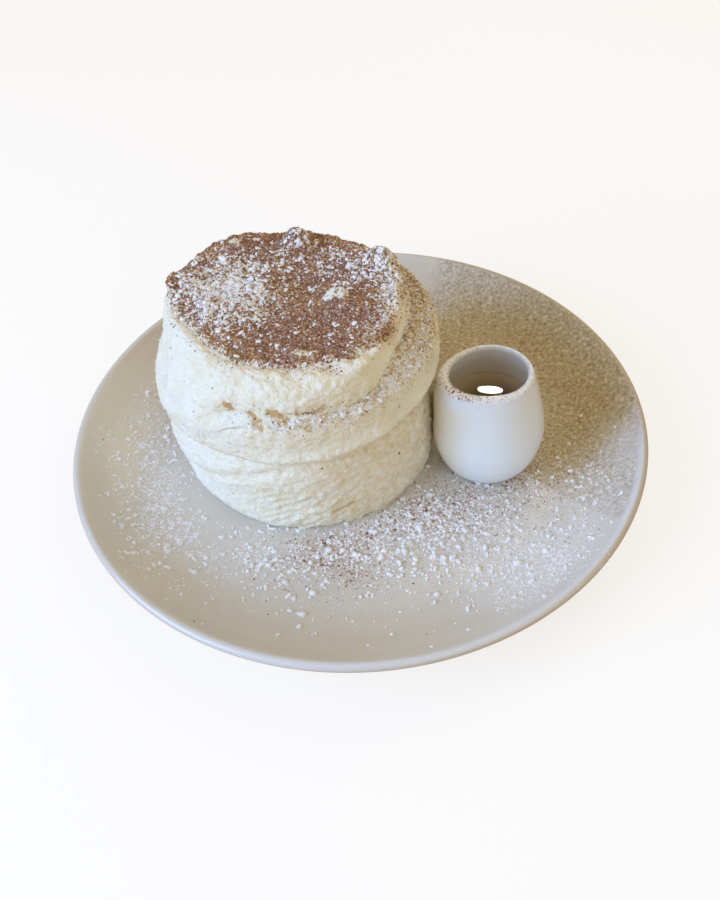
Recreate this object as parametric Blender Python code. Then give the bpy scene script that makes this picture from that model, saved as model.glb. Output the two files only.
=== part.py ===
"""Two souffle pancakes under whipped cream, on a coupe plate with a small jug of syrup.

Real size, in metres, +Z up. The plate stands on z = 0 with its foot round the origin, and -Y is the
side that faces the diner. Every separate piece is one closed mesh: the plate, the lower pancake, the
upper pancake, the cream, the jug and the syrup in it. Plate, jug and syrup are turned profiles. The
food is built from rings that start in the middle of a piece's top, run out over its side and come
back in under it.
"""

import math

import bmesh
import bpy

MM = 0.001
GAP = 0.3 * MM  # air between two pieces that touch
SHARP_ANGLE = math.radians(40)  # edges bent by more than this are shaded as edges

# Plate: stoneware, flat in the middle and curved up to a round lip, on a foot ring
PLATE_RADIUS = 130 * MM
PLATE_HEIGHT = 24 * MM
PLATE_FLOOR = 6.5 * MM
PLATE_FLAT_RADIUS = 92 * MM
PLATE_LIP_RADIUS = 2.0 * MM
PLATE_UNDERSIDE = 2.0 * MM
PLATE_UNDER_FLAT_RADIUS = 88 * MM
FOOT_OUTER_RADIUS = 69.5 * MM
FOOT_INNER_RADIUS = 65.5 * MM
FOOT_SLOPE = 0.7 * MM
PLATE_SEGMENTS = 64
COVE_STEPS = 4
LIP_STEPS = 4

# The stack of food: a lower pancake, an upper one that leans on it, and a thick cap of cream
FOOD_SEGMENTS = 44
REST_HEIGHT = PLATE_FLOOR + GAP
LOWER_CENTRE = (-23.5 * MM, 7.8 * MM)
LOWER_RADIUS = 60.2 * MM
LOWER_BASE_TUCK = 0.065  # mean share of the radius that is lost where it rests on the plate
LOWER_BASE_LEAN = 0.035  # and how far that share varies round it, most at LOWER_LEAN_ANGLE
LOWER_LEAN_ANGLE = math.radians(145)
LOWER_SEAM_TUCK = 0.06  # share lost at the crease under the upper pancake
LOWER_BULGE = (0.24, 0.58)  # height shares between which the side is at its widest
LOWER_BASE_POWER = 2.6  # how late the side turns in: 1 is a plain cone, more is rounder
LOWER_SEAM_POWER = 2.4
LOWER_WAVES = ((1, 0.006, 2.9), (2, 0.008, 1.2), (3, 0.006, 2.6))
LOWER_SIDE_SHARES = (1.0, 0.93, 0.82, 0.58, 0.24, 0.15, 0.08, 0.03, 0.0)  # heights of its rings
LOWER_TOP_SHARES = (0.5, 0.93)  # radii of its rings
LOWER_BASE_SHARES = (0.6,)

SEAM_HEIGHT = 53.3 * MM  # the crease between the pancakes, over the lower one's centre
SEAM_SLOPE = 0.095  # it rises towards +X, so the upper pancake leans to the other side

UPPER_CENTRE = (-22.6 * MM, 5.0 * MM)
UPPER_RADIUS = 59.8 * MM
UPPER_TUCK = 0.075  # share of the radius that is lost at its crease and at its top edge
UPPER_BULGE = 0.42  # height share at which it is widest
UPPER_SAG = 2.4 * MM  # the draped side sinks and swells by this much near its crease
UPPER_SAG_RISE = (0.0, 0.25)  # height shares over which the swelling starts
UPPER_SAG_FALL = (0.9, 0.4)  # and those over which it ends, read downwards
UPPER_POWER = (2.6, 6.0)  # how late the side tucks in: on the +X side, and on the draped side
UPPER_WAVES = ((2, 0.006, 0.4), (3, 0.006, 1.9))
UPPER_SIDE_SHARES = (1.0, 0.88, 0.66, 0.44, 0.24, 0.10)
UPPER_BASE_SHARES = (1.0, 0.9, 0.5)
SHELF_HEIGHT = 76.5 * MM  # the upper pancake's browned top
SHELF_TILT = 3.5 * MM
SHELF_TILT_ANGLE = math.radians(30)  # the side on which it is highest

# Cream: set back from the pancake's edge on one side, and run down over it on the other
CREAM_DRAPE = 18 * MM
CREAM_DRAPE_ANGLE = math.radians(178)
CREAM_DRAPE_SPAN = (0.35, 0.95)  # cosines off that angle between which the drape comes in fully
CREAM_SET_BACK = 8.5 * MM
CREAM_SET_BACK_ANGLE = math.radians(8)
CREAM_SET_BACK_SPAN = (0.1, 0.8)
CREAM_LIP = 0.5 * MM
CREAM_HEIGHT = 89 * MM
CREAM_PLATEAU = 45.5 * MM
CREAM_PLATEAU_SHIFT = 4.0 * MM  # the flat top reaches further out over the draped side
CREAM_MOST_FLAT = 0.9  # share of the cream's radius that the flat top takes at most
CREAM_ROUNDNESS = 2.6  # power of the shoulder's curve: 2 is a plain ellipse, more is squarer
CREAM_DRAPED_ROUNDNESS = 1.9
CREAM_JOINT_POWER = 4  # the joint under it stays flat, and turns down only near its edge
CREAM_JOINT_SHARES = (0.35, 0.72, 0.90, 1.0)
CREAM_TOP_SHARES = (0.25, 0.5, 0.75, 1.0)
CREAM_SHOULDER_TURNS = (62, 42, 25, 11)  # degrees up the shoulder's quarter turn
# Peaks left by the spoon: distance and direction from the middle, height, and spread
CREAM_PEAKS = (
    (35 * MM, math.radians(86), 12.0 * MM, 5 * MM),
    (42 * MM, math.radians(25), 9.5 * MM, 6 * MM),
    (49 * MM, math.radians(166), 6.0 * MM, 9 * MM),
    (30 * MM, math.radians(200), 3.0 * MM, 9 * MM),
    (42 * MM, math.radians(125), 5.0 * MM, 11 * MM),
    (20 * MM, math.radians(-15), 3.0 * MM, 6 * MM),
    (16 * MM, math.radians(60), -3.0 * MM, 13 * MM),
)

# Jug: white porcelain, with no handle, a round belly and a pinched spout
JUG_CENTRE = (57.7 * MM, -16.2 * MM)
JUG_HEIGHT = 53 * MM
JUG_BASE_RADIUS = 13 * MM
JUG_BELLY_RADIUS = 24.6 * MM
JUG_BELLY_HEIGHT = 22.5 * MM
JUG_RIM_RADIUS = 17.5 * MM
JUG_WALL = 3.6 * MM
JUG_FLOOR = 4.5 * MM
JUG_SHOULDER_POWER = 1.4
JUG_BORE_CORNER = 0.35  # how much the bore closes in over the floor, as a share of its area
JUG_SEGMENTS = 36
JUG_SIDE_SHARES = (0, 0.04, 0.10, 0.20, 0.38, 0.55, 0.72, 0.88, 1)
JUG_BORE_SHARES = (0, 0.04, 0.10, 0.30, 0.50, 0.70, 0.86, 1)
SPOUT_ANGLE = math.radians(-168)
SPOUT_SPREAD = 0.82  # radians either side
SPOUT_REACH = 5.5 * MM
SPOUT_FREE_RADIUS = 8 * MM  # the pull fades away nearer the axis than this
SYRUP_LEVEL = 34.8 * MM  # above the jug's base
SYRUP_CLEARANCE = 1.6 * GAP  # along a radius, so that the slanted stretches keep a whole gap too
SYRUP_SIDE_SHARES = (0, 0.12, 0.25, 0.50, 0.75, 1)


def clear_scene():
    for old in list(bpy.data.objects):
        bpy.data.objects.remove(old, do_unlink=True)


def finish(name, color, roughness, metallic=0.0):
    """A plain Principled finish."""
    material = bpy.data.materials.new(name)
    material.use_nodes = True
    shader = material.node_tree.nodes["Principled BSDF"]
    shader.inputs["Base Color"].default_value = (*color, 1.0)
    shader.inputs["Roughness"].default_value = roughness
    shader.inputs["Metallic"].default_value = metallic
    return material


def smooth_step(value):
    value = min(max(value, 0.0), 1.0)
    return value * value * (3 - 2 * value)


def blend(value, span):
    """0 at the span's first value, 1 at its second one, and smooth in between."""
    start, end = span
    return smooth_step((value - start) / (end - start))


def wavy(angle, waves):
    """An uneven factor round 1, from waves of (turns, share, phase)."""
    return 1 + sum(share * math.cos(turns * angle - phase) for turns, share, phase in waves)


def add_object(name, bm, material):
    """Turns the bmesh into a smooth-shaded object with its faces pointing out."""
    bmesh.ops.recalc_face_normals(bm, faces=bm.faces)
    mesh = bpy.data.meshes.new(name)
    bm.to_mesh(mesh)
    bm.free()
    mesh.shade_smooth()
    mesh.set_sharp_from_angle(angle=SHARP_ANGLE)
    mesh.materials.append(material)
    piece = bpy.data.objects.new(name, mesh)
    bpy.context.scene.collection.objects.link(piece)
    return piece


def turned(name, profile, segments, material, reshape=None):
    """A profile of (radius, height) points from axis to axis, spun once round the Z axis. Reshape
    may then move each point."""
    bm = bmesh.new()
    verts = [bm.verts.new((radius, 0, height)) for radius, height in profile]
    edges = [bm.edges.new(ends) for ends in zip(verts, verts[1:])]
    bmesh.ops.spin(bm, geom=verts + edges, axis=(0, 0, 1), cent=(0, 0, 0),
                   angle=math.tau, steps=segments, use_merge=True)
    bmesh.ops.remove_doubles(bm, verts=bm.verts, dist=0.001 * MM)
    if reshape:
        for vert in bm.verts:
            reshape(vert.co)
    return add_object(name, bm, material)


def ring(centre, radius_at, height_at):
    """One ring of points. Both functions take the angle, and the second also takes x and y."""
    points = []
    for step in range(FOOD_SEGMENTS):
        angle = math.tau * step / FOOD_SEGMENTS
        radius = radius_at(angle)
        x = centre[0] + radius * math.cos(angle)
        y = centre[1] + radius * math.sin(angle)
        points.append((x, y, height_at(angle, x, y)))
    return points


def spread(points):
    """The total width of a ring, which says which of two rings is the inner one."""
    return max(p[0] for p in points) - min(p[0] for p in points)


def ring_body(name, rings, material):
    """Skins rings that run from the top's middle to the base's. Every four-sided gap is split from
    its inner ring's corner, so two pieces that share rings at a joint share its facets too."""
    bm = bmesh.new()
    loops = [[bm.verts.new(p) for p in points] for points in rings]
    for (above, below), (upper, lower) in zip(zip(rings, rings[1:]), zip(loops, loops[1:])):
        inner_first = spread(above) <= spread(below)
        for i in range(FOOD_SEGMENTS):
            j = (i + 1) % FOOD_SEGMENTS
            if len(upper) == 1:
                bm.faces.new((upper[0], lower[i], lower[j]))
            elif len(lower) == 1:
                bm.faces.new((upper[i], lower[0], upper[j]))
            elif inner_first:
                bm.faces.new((upper[i], lower[i], lower[j]))
                bm.faces.new((upper[i], lower[j], upper[j]))
            else:
                bm.faces.new((upper[i], lower[i], upper[j]))
                bm.faces.new((upper[j], lower[i], lower[j]))
    return add_object(name, bm, material)


# ---- plate ----

def plate_profile():
    lip_x = PLATE_RADIUS - PLATE_LIP_RADIUS
    lip_z = PLATE_HEIGHT - PLATE_LIP_RADIUS
    lip = []
    for step in range(LIP_STEPS + 1):
        turn = math.radians(135 - 180 * step / LIP_STEPS)
        lip.append((lip_x + PLATE_LIP_RADIUS * math.cos(turn), lip_z + PLATE_LIP_RADIUS * math.sin(turn)))

    def cove(flat_radius, flat_height, end):
        """A parabola from a flat out to the lip."""
        width = end[0] - flat_radius
        shares = [step / COVE_STEPS for step in range(COVE_STEPS)]
        return [(flat_radius + width * s, flat_height + (end[1] - flat_height) * s * s) for s in shares]

    upper = cove(PLATE_FLAT_RADIUS, PLATE_FLOOR, lip[0])
    under = cove(PLATE_UNDER_FLAT_RADIUS, PLATE_UNDERSIDE, lip[-1])
    foot = [
        (FOOT_OUTER_RADIUS + FOOT_SLOPE, PLATE_UNDERSIDE),
        (FOOT_OUTER_RADIUS, 0),
        (FOOT_INNER_RADIUS, 0),
        (FOOT_INNER_RADIUS - FOOT_SLOPE, PLATE_UNDERSIDE),
    ]
    return [(0, PLATE_FLOOR), *upper, *lip, *reversed(under), *foot, (0, PLATE_UNDERSIDE)]


def make_plate():
    glaze = finish("speckled_stoneware", (0.52, 0.48, 0.43), 0.25)
    return turned("plate", plate_profile(), PLATE_SEGMENTS, glaze)


# ---- pancakes ----

def seam(x):
    """Height of the flat joint between the pancakes."""
    return SEAM_HEIGHT + SEAM_SLOPE * (x - LOWER_CENTRE[0])


def lower_radius(angle, share):
    """Radius of the lower pancake at a share of its height."""
    start, end = LOWER_BULGE
    tuck = 0.0
    if share < start:
        lean = LOWER_BASE_LEAN * math.cos(angle - LOWER_LEAN_ANGLE)
        tuck = (LOWER_BASE_TUCK + lean) * (1 - share / start) ** LOWER_BASE_POWER
    elif share > end:
        tuck = LOWER_SEAM_TUCK * ((share - end) / (1 - end)) ** LOWER_SEAM_POWER
    return LOWER_RADIUS * wavy(angle, LOWER_WAVES) * (1 - tuck)


def make_lower_pancake():
    def level(radius_share, height_share):
        def radius_at(angle):
            return radius_share * lower_radius(angle, height_share)

        def height_at(_angle, x, _y):
            top = seam(x) - GAP / 2
            return REST_HEIGHT + (top - REST_HEIGHT) * height_share

        return ring(LOWER_CENTRE, radius_at, height_at)

    middle_top = (*LOWER_CENTRE, seam(LOWER_CENTRE[0]) - GAP / 2)
    tops = [level(share, 1.0) for share in LOWER_TOP_SHARES]
    sides = [level(1.0, share) for share in LOWER_SIDE_SHARES]
    base = [level(share, 0.0) for share in LOWER_BASE_SHARES]
    rings = [[middle_top], *tops, *sides, *base, [(*LOWER_CENTRE, REST_HEIGHT)]]
    batter = finish("souffle_crumb_lower", (0.86, 0.84, 0.74), 0.75)
    return ring_body("lower_pancake", rings, batter)


def shelf(angle):
    """Height of the upper pancake's top edge, were it not covered."""
    return SHELF_HEIGHT + SHELF_TILT * math.cos(angle - SHELF_TILT_ANGLE)


def draped(angle):
    """How far the cream runs down over the side: 1 in the middle of the drape, 0 away from it."""
    return blend(math.cos(angle - CREAM_DRAPE_ANGLE), CREAM_DRAPE_SPAN)


def cream_line(angle):
    """Height at which the cream ends on the upper pancake's side."""
    return shelf(angle) - CREAM_DRAPE * draped(angle)


def upper_radius(angle, height):
    foot = seam(UPPER_CENTRE[0] + UPPER_RADIUS * math.cos(angle))
    share = (height - foot) / (shelf(angle) - foot)
    reach = 1 - UPPER_BULGE if share > UPPER_BULGE else UPPER_BULGE
    near, far = UPPER_POWER
    power = near + (far - near) * (1 - math.cos(angle)) / 2
    tuck = UPPER_TUCK * (abs(share - UPPER_BULGE) / reach) ** power
    sag = UPPER_SAG * draped(angle) * blend(share, UPPER_SAG_RISE) * blend(share, UPPER_SAG_FALL)
    return UPPER_RADIUS * wavy(angle, UPPER_WAVES) * (1 - tuck) + sag


def cream_radius(angle):
    """Radius of the cream's lower edge."""
    set_back = CREAM_SET_BACK * blend(math.cos(angle - CREAM_SET_BACK_ANGLE), CREAM_SET_BACK_SPAN)
    return upper_radius(angle, cream_line(angle)) - CREAM_LIP - set_back


def joint_height(angle, share):
    """The face between pancake and cream, at a share of the cream's radius."""
    return SHELF_HEIGHT + (cream_line(angle) - SHELF_HEIGHT) * share ** CREAM_JOINT_POWER


def joint_rings(offset):
    """Rings on the face between pancake and cream, moved up or down by offset."""
    return [
        ring(
            UPPER_CENTRE,
            lambda angle, s=share: s * cream_radius(angle),
            lambda angle, _x, _y, s=share: joint_height(angle, s) + offset,
        )
        for share in CREAM_JOINT_SHARES
    ]


def crease(angle):
    """Height of the upper pancake's lower edge."""
    return seam(UPPER_CENTRE[0] + UPPER_RADIUS * (1 - UPPER_TUCK) * math.cos(angle)) + GAP / 2


def upper_side_ring(share):
    """A ring at a share of the visible side, from the crease (0) up to the cream (1)."""
    def height(angle):
        return crease(angle) + (cream_line(angle) - GAP / 2 - crease(angle)) * share

    return ring(
        UPPER_CENTRE,
        lambda angle: upper_radius(angle, height(angle)),
        lambda angle, _x, _y: height(angle),
    )


def upper_base_ring(share):
    """A ring on the face that rests on the lower pancake, at a share of its radius."""
    return ring(
        UPPER_CENTRE,
        lambda angle: share * upper_radius(angle, crease(angle)),
        lambda _angle, x, _y: seam(x) + GAP / 2,
    )


def make_upper_pancake():
    tops = joint_rings(-GAP / 2)
    sides = [upper_side_ring(share) for share in UPPER_SIDE_SHARES]
    base = [upper_base_ring(share) for share in UPPER_BASE_SHARES]
    middle_top = (*UPPER_CENTRE, SHELF_HEIGHT - GAP / 2)
    middle_base = (*UPPER_CENTRE, seam(UPPER_CENTRE[0]) + GAP / 2)
    batter = finish("souffle_crumb_upper", (0.88, 0.86, 0.77), 0.75)
    return ring_body("upper_pancake", [[middle_top], *tops, *sides, *base, [middle_base]], batter)


# ---- cream ----

def cream_top(x, y):
    """Height of the cream's flat top with the spoon's peaks in it."""
    height = CREAM_HEIGHT
    for distance, direction, rise, width in CREAM_PEAKS:
        peak_x = UPPER_CENTRE[0] + distance * math.cos(direction)
        peak_y = UPPER_CENTRE[1] + distance * math.sin(direction)
        away = ((x - peak_x) ** 2 + (y - peak_y) ** 2) / (2 * width * width)
        height += rise * math.exp(-away)
    return height


def plateau_radius(angle):
    flat = CREAM_PLATEAU - CREAM_PLATEAU_SHIFT * math.cos(angle)
    return min(flat, CREAM_MOST_FLAT * cream_radius(angle))


def shoulder_ring(turn):
    """A ring on the rounded shoulder, from the lower edge (0) up to the flat top (a quarter turn)."""
    def curve(leg, angle):
        power = CREAM_ROUNDNESS + (CREAM_DRAPED_ROUNDNESS - CREAM_ROUNDNESS) * draped(angle)
        return leg ** (2 / power)

    def radius_at(angle):
        flat = plateau_radius(angle)
        return flat + (cream_radius(angle) - flat) * curve(math.cos(turn), angle)

    def height_at(angle, x, y):
        low = cream_line(angle) + GAP / 2
        return low + (cream_top(x, y) - low) * curve(math.sin(turn), angle)

    return ring(UPPER_CENTRE, radius_at, height_at)


def make_cream():
    middle_top = (*UPPER_CENTRE, cream_top(*UPPER_CENTRE))
    tops = [
        ring(
            UPPER_CENTRE,
            lambda angle, s=share: s * plateau_radius(angle),
            lambda _angle, x, y: cream_top(x, y),
        )
        for share in CREAM_TOP_SHARES
    ]
    shoulder = [shoulder_ring(math.radians(turn)) for turn in CREAM_SHOULDER_TURNS]
    joint = list(reversed(joint_rings(GAP / 2)))
    middle_base = (*UPPER_CENTRE, SHELF_HEIGHT + GAP / 2)
    whipped = finish("whipped_cream", (0.90, 0.89, 0.84), 0.6)
    return ring_body("cream_topping", [[middle_top], *tops, *shoulder, *joint, [middle_base]], whipped)


# ---- jug and syrup ----

def jug_radius(height):
    """Outer radius of the jug at a height over its base: a quarter ellipse under a slow taper."""
    if height < JUG_BELLY_HEIGHT:
        drop = 1 - height / JUG_BELLY_HEIGHT
        return JUG_BASE_RADIUS + (JUG_BELLY_RADIUS - JUG_BASE_RADIUS) * math.sqrt(1 - drop * drop)
    share = (height - JUG_BELLY_HEIGHT) / (JUG_HEIGHT - JUG_BELLY_HEIGHT)
    return JUG_BELLY_RADIUS - (JUG_BELLY_RADIUS - JUG_RIM_RADIUS) * share ** JUG_SHOULDER_POWER


def bore_radius(height):
    """Inner radius: a wall's thickness in, closing with a round corner over the floor."""
    corner = 1 - min((height - JUG_FLOOR) / JUG_FLOOR, 1.0)
    return (jug_radius(height) - JUG_WALL) * math.sqrt(1 - JUG_BORE_CORNER * corner * corner)


def pull_spout(point):
    """Draws the wall out to one side above the belly."""
    angle = math.atan2(point.y, point.x) - SPOUT_ANGLE
    angle = (angle + math.pi) % math.tau - math.pi
    rise = smooth_step((point.z - JUG_BELLY_HEIGHT) / (JUG_HEIGHT - JUG_BELLY_HEIGHT))
    radius = math.hypot(point.x, point.y)
    if radius > 0 and rise > 0:
        pull = SPOUT_REACH * rise * math.exp(-((angle / SPOUT_SPREAD) ** 2))
        pull *= min(1.0, radius / SPOUT_FREE_RADIUS)
        point.x += pull * point.x / radius
        point.y += pull * point.y / radius


def bore_heights(top, shares):
    """Heights on the inner wall, from the jug's floor up to top."""
    return [JUG_FLOOR + (top - JUG_FLOOR) * share for share in shares]


def jug_profile():
    lip = JUG_WALL / 2
    neck = JUG_HEIGHT - lip
    outer = [(jug_radius(neck * share), neck * share) for share in JUG_SIDE_SHARES]
    inner = [(bore_radius(height), height) for height in bore_heights(neck, JUG_BORE_SHARES)]
    middle = outer[-1][0] - lip
    over = [(middle + lip * math.cos(math.radians(turn)), neck + lip * math.sin(math.radians(turn)))
            for turn in (135, 90, 45)]
    return [(0, JUG_FLOOR), *inner, *over, *reversed(outer), (0, 0)]


def syrup_profile():
    """The syrup fills the bore up to its level, clear of the wall and of the floor."""
    heights = bore_heights(SYRUP_LEVEL, SYRUP_SIDE_SHARES)
    wall = [(bore_radius(height) - SYRUP_CLEARANCE, height + SYRUP_CLEARANCE * (1 - height / SYRUP_LEVEL))
            for height in reversed(heights)]
    return [(0, SYRUP_LEVEL), *wall, (0, wall[-1][1])]


def stand(piece):
    piece.location = (*JUG_CENTRE, REST_HEIGHT)
    return piece


def make_jug():
    porcelain = finish("white_porcelain", (0.80, 0.79, 0.76), 0.15)
    return stand(turned("jug", jug_profile(), JUG_SEGMENTS, porcelain, pull_spout))


def make_syrup():
    amber = finish("dark_syrup", (0.12, 0.06, 0.03), 0.05)
    return stand(turned("syrup", syrup_profile(), JUG_SEGMENTS, amber, pull_spout))


clear_scene()
make_plate()
make_lower_pancake()
make_upper_pancake()
make_cream()
make_jug()
make_syrup()
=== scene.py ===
# %% [markdown]
# # Souffle pancakes under whipped cream
# Two tall pancakes carry a thick cap of whipped cream. Cocoa and icing sugar were sifted over them and over
# the stoneware plate, and a small jug of syrup stands beside them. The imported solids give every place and
# size. Each cell below builds one piece or one finish on top of them, in metres, with +Z up.

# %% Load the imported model
import math

import bmesh
import bpy
import numpy as np
from mathutils import Matrix, Vector, noise


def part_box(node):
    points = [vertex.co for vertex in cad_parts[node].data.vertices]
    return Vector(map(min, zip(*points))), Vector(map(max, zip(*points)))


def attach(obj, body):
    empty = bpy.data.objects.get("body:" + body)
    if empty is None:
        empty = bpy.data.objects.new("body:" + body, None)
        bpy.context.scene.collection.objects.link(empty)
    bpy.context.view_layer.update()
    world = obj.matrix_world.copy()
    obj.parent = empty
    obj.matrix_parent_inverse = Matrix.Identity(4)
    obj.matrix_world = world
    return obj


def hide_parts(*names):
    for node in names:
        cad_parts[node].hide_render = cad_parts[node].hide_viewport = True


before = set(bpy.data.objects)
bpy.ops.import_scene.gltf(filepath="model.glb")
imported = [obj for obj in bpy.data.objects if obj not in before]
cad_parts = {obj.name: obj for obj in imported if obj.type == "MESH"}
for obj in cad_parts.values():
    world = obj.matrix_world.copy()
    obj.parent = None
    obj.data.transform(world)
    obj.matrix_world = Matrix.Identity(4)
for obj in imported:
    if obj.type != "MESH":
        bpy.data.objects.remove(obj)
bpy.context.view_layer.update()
print("packed nodes:", sorted(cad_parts))

# %% [markdown]
# ## Camera
# A lens of about 35 mm close to a plate draws it as a wide ellipse and shows the top and the side of a stack
# together. The camera could be turned by angles, but a matrix made from its own three axes is easier to
# check, and it takes the slight roll of a hand-held camera as well.

# %% Camera
MM = 0.001
CAMERA_LENS = 35.54  # millimetres
CAMERA_SENSOR = 36  # millimetres along the long side
CAMERA_DISTANCE = 400 * MM
CAMERA_ELEVATION = math.radians(47.06)
CAMERA_ROLL = math.radians(-4.38)
CAMERA_TARGET = Vector((0.06, -18.23, 20.0)) * MM
FRONT = -90  # direction towards the diner, in degrees from +X


def aim(eye, target, roll=0.0):
    """The matrix of a camera or lamp at eye that looks at target."""
    forward = (target - eye).normalized()
    right = forward.cross(Vector((0, 0, 1))).normalized()
    up = right.cross(forward)
    x = right * math.cos(roll) + up * math.sin(roll)
    y = up * math.cos(roll) - right * math.sin(roll)
    return Matrix.Translation(eye) @ Matrix((x, y, -forward)).transposed().to_4x4()


def direction(azimuth, elevation):
    """A unit vector: azimuth runs from +X towards +Y, in degrees, and elevation is over the horizon."""
    a, e = math.radians(azimuth), math.radians(elevation)
    return Vector((math.cos(a) * math.cos(e), math.sin(a) * math.cos(e), math.sin(e)))


camera = bpy.data.objects.new("camera", bpy.data.cameras.new("camera"))
bpy.context.scene.collection.objects.link(camera)
camera.data.lens = CAMERA_LENS
camera.data.sensor_width = CAMERA_SENSOR
camera.data.clip_start = 0.01
eye = CAMERA_TARGET + direction(FRONT, math.degrees(CAMERA_ELEVATION)) * CAMERA_DISTANCE
camera.matrix_world = aim(eye, CAMERA_TARGET, CAMERA_ROLL)
bpy.context.scene.camera = camera
print("camera at", [round(v, 4) for v in eye])

# %% [markdown]
# ## Colours and nodes
# A maker picks colours in sRGB, as hex codes, but a renderer works in linear light, so one function turns
# one into the other. One more function adds any node with its settings and its links, which keeps each
# material as short as a recipe.

# %% Colours and nodes
def linear(code):
    """A hex colour such as 'c8a070' as linear red, green, blue and an alpha of 1."""
    values = [int(code[i:i + 2], 16) / 255 for i in (0, 2, 4)]
    return (*[v / 12.92 if v <= 0.04045 else ((v + 0.055) / 1.055) ** 2.4 for v in values], 1.0)


def add(tree, kind, inputs=None, stops=(), out=0, **settings):
    """Adds a shader node and gives one of its outputs. Inputs take values or the outputs of other nodes, and
    stops fill a colour ramp with hex colours."""
    made = tree.nodes.new("ShaderNode" + kind)
    for name, value in settings.items():
        setattr(made, name, value)
    for _ in stops[2:]:
        made.color_ramp.elements.new(0.5)
    for number, (place, code) in enumerate(stops):
        element = made.color_ramp.elements[number]
        element.position = place
        element.color = linear(code)
    for socket, value in (inputs or {}).items():
        if isinstance(value, bpy.types.NodeSocket):
            tree.links.new(value, made.inputs[socket])
        else:
            made.inputs[socket].default_value = value
    return made.outputs[out]


COLOURS = {"data_type": "RGBA", "out": "Result"}  # makes a Mix node mix colours


def new_material(name, **sockets):
    """An empty Principled material, with the sockets that are the same all over set by name."""
    material = bpy.data.materials.new(name)
    material.use_nodes = True
    shader = material.node_tree.nodes["Principled BSDF"]
    for socket, value in sockets.items():
        shader.inputs[socket.replace("_", " ")].default_value = value
    return material, material.node_tree, shader


print("the grey 808080 is", round(linear("808080")[0], 3), "in linear light")

# %% [markdown]
# ## Studio
# Cafe light comes from a big cool window on the left and from warm wood and lamps all round. A large area
# lamp is the window, a warm world is the room, and two soft lamps stand for other panes further off. The
# camera itself sees a plain pale backdrop in place of the room. A tiny oval lamp over the syrup is seen only
# as a catch light in it. The floor is hidden from bounced light, so that its white doesn't wash out the warm
# side of the food.

# %% Studio
ROOM_COLOUR = (0.46, 0.316, 0.144, 1.0)
BACKDROP_COLOUR = (0.9, 0.9, 0.9, 1.0)
# Each soft lamp: azimuth and elevation in degrees, watts of red, green and blue light
SOFT_LAMPS = {"window": (203, 27, (7.2, 11.5, 19.2)), "pane_behind": (50, 45, (2.4, 2.6, 2.3)),
              "pane_in_front": (-60, 30, (2.5, 3.45, 4.2))}
SOFT_LAMP_DISTANCE = 1.3
SOFT_LAMP_SIZE = 0.95
CATCH_LIGHT_PLACE = Vector((59.2, -8.0, 41.8)) * MM
CATCH_LIGHT_SIZE = (11.4 * MM, 3.35 * MM)
CATCH_LIGHT_POWER = 0.0035
CATCH_LIGHT_LIFT = 7  # millimetres along the mirrored line of sight
LAMP_TARGET = Vector((0.0, 0.0, 0.04))
FLOOR_REACH = 6


def area_lamp(name, place, target, size, watts):
    """A lamp whose power and colour are given together, as watts of red, green and blue."""
    lamp = bpy.data.lights.new(name, "AREA")
    lamp.size = size
    lamp.energy = max(watts)
    lamp.color = [w / max(watts) for w in watts]
    piece = bpy.data.objects.new(name, lamp)
    bpy.context.scene.collection.objects.link(piece)
    piece.matrix_world = aim(Vector(place), Vector(target))
    return piece


scene = bpy.context.scene
scene.view_settings.view_transform = "Standard"
world = bpy.data.worlds.new("room")
scene.world = world
world.use_nodes = True
room = world.node_tree.nodes["Background"]
room.inputs["Color"].default_value = ROOM_COLOUR
backdrop = add(world.node_tree, "Background", {"Color": BACKDROP_COLOUR})
seen = add(world.node_tree, "LightPath", out="Is Camera Ray")
mixed = add(world.node_tree, "MixShader", {0: seen, 1: room.outputs[0], 2: backdrop})
world.node_tree.links.new(mixed, world.node_tree.nodes["World Output"].inputs["Surface"])

for name, (azimuth, elevation, watts) in SOFT_LAMPS.items():
    place = direction(azimuth, elevation) * SOFT_LAMP_DISTANCE
    area_lamp(name, place, LAMP_TARGET, SOFT_LAMP_SIZE, watts)

mirrored = (CATCH_LIGHT_PLACE - eye).normalized()
mirrored.z = -mirrored.z
catch_light = area_lamp("catch_light", CATCH_LIGHT_PLACE + mirrored * CATCH_LIGHT_LIFT * MM,
                        CATCH_LIGHT_PLACE, CATCH_LIGHT_SIZE[0], (CATCH_LIGHT_POWER,) * 3)
catch_light.data.shape = "ELLIPSE"
catch_light.data.size_y = CATCH_LIGHT_SIZE[1]
catch_light.visible_camera = False
catch_light.visible_diffuse = False

floor_material, tree, shader = new_material("white_floor", Roughness=0.9, Base_Color=(0.3, 0.3, 0.3, 1),
                                            Emission_Color=(1, 1, 1, 1), Emission_Strength=0.72)
floor_mesh = bpy.data.meshes.new("floor")
corners = [(x * FLOOR_REACH, y * FLOOR_REACH, 0) for x, y in ((-1, -1), (1, -1), (1, 1), (-1, 1))]
floor_mesh.from_pydata(corners, [], [(0, 1, 2, 3)])
floor_mesh.materials.append(floor_material)
floor = bpy.data.objects.new("floor", floor_mesh)
scene.collection.objects.link(floor)
floor.visible_diffuse = False
floor.visible_glossy = False
print("lamps:", ", ".join(SOFT_LAMPS), "and catch_light")

# %% [markdown]
# ## Shaping tools
# Food made in a ring or on a turntable is described by its angle round the middle and its height, so every
# body here is a skin over rings of points. The rings come from formulas on whole arrays, which is quick,
# and unevenness is added as fractal noise that pushes the skin in or out along its normals.

# %% Shaping tools
def blend(value, start, end):
    """0 at start, 1 at end and smooth in between, on numbers or arrays."""
    share = np.clip((value - start) / (end - start), 0.0, 1.0)
    return share * share * (3 - 2 * share)


def bump(distance, width):
    """A round bump: 1 in the middle, and nearly 0 at twice its width."""
    return np.exp(-(distance / width) ** 2)


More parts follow.
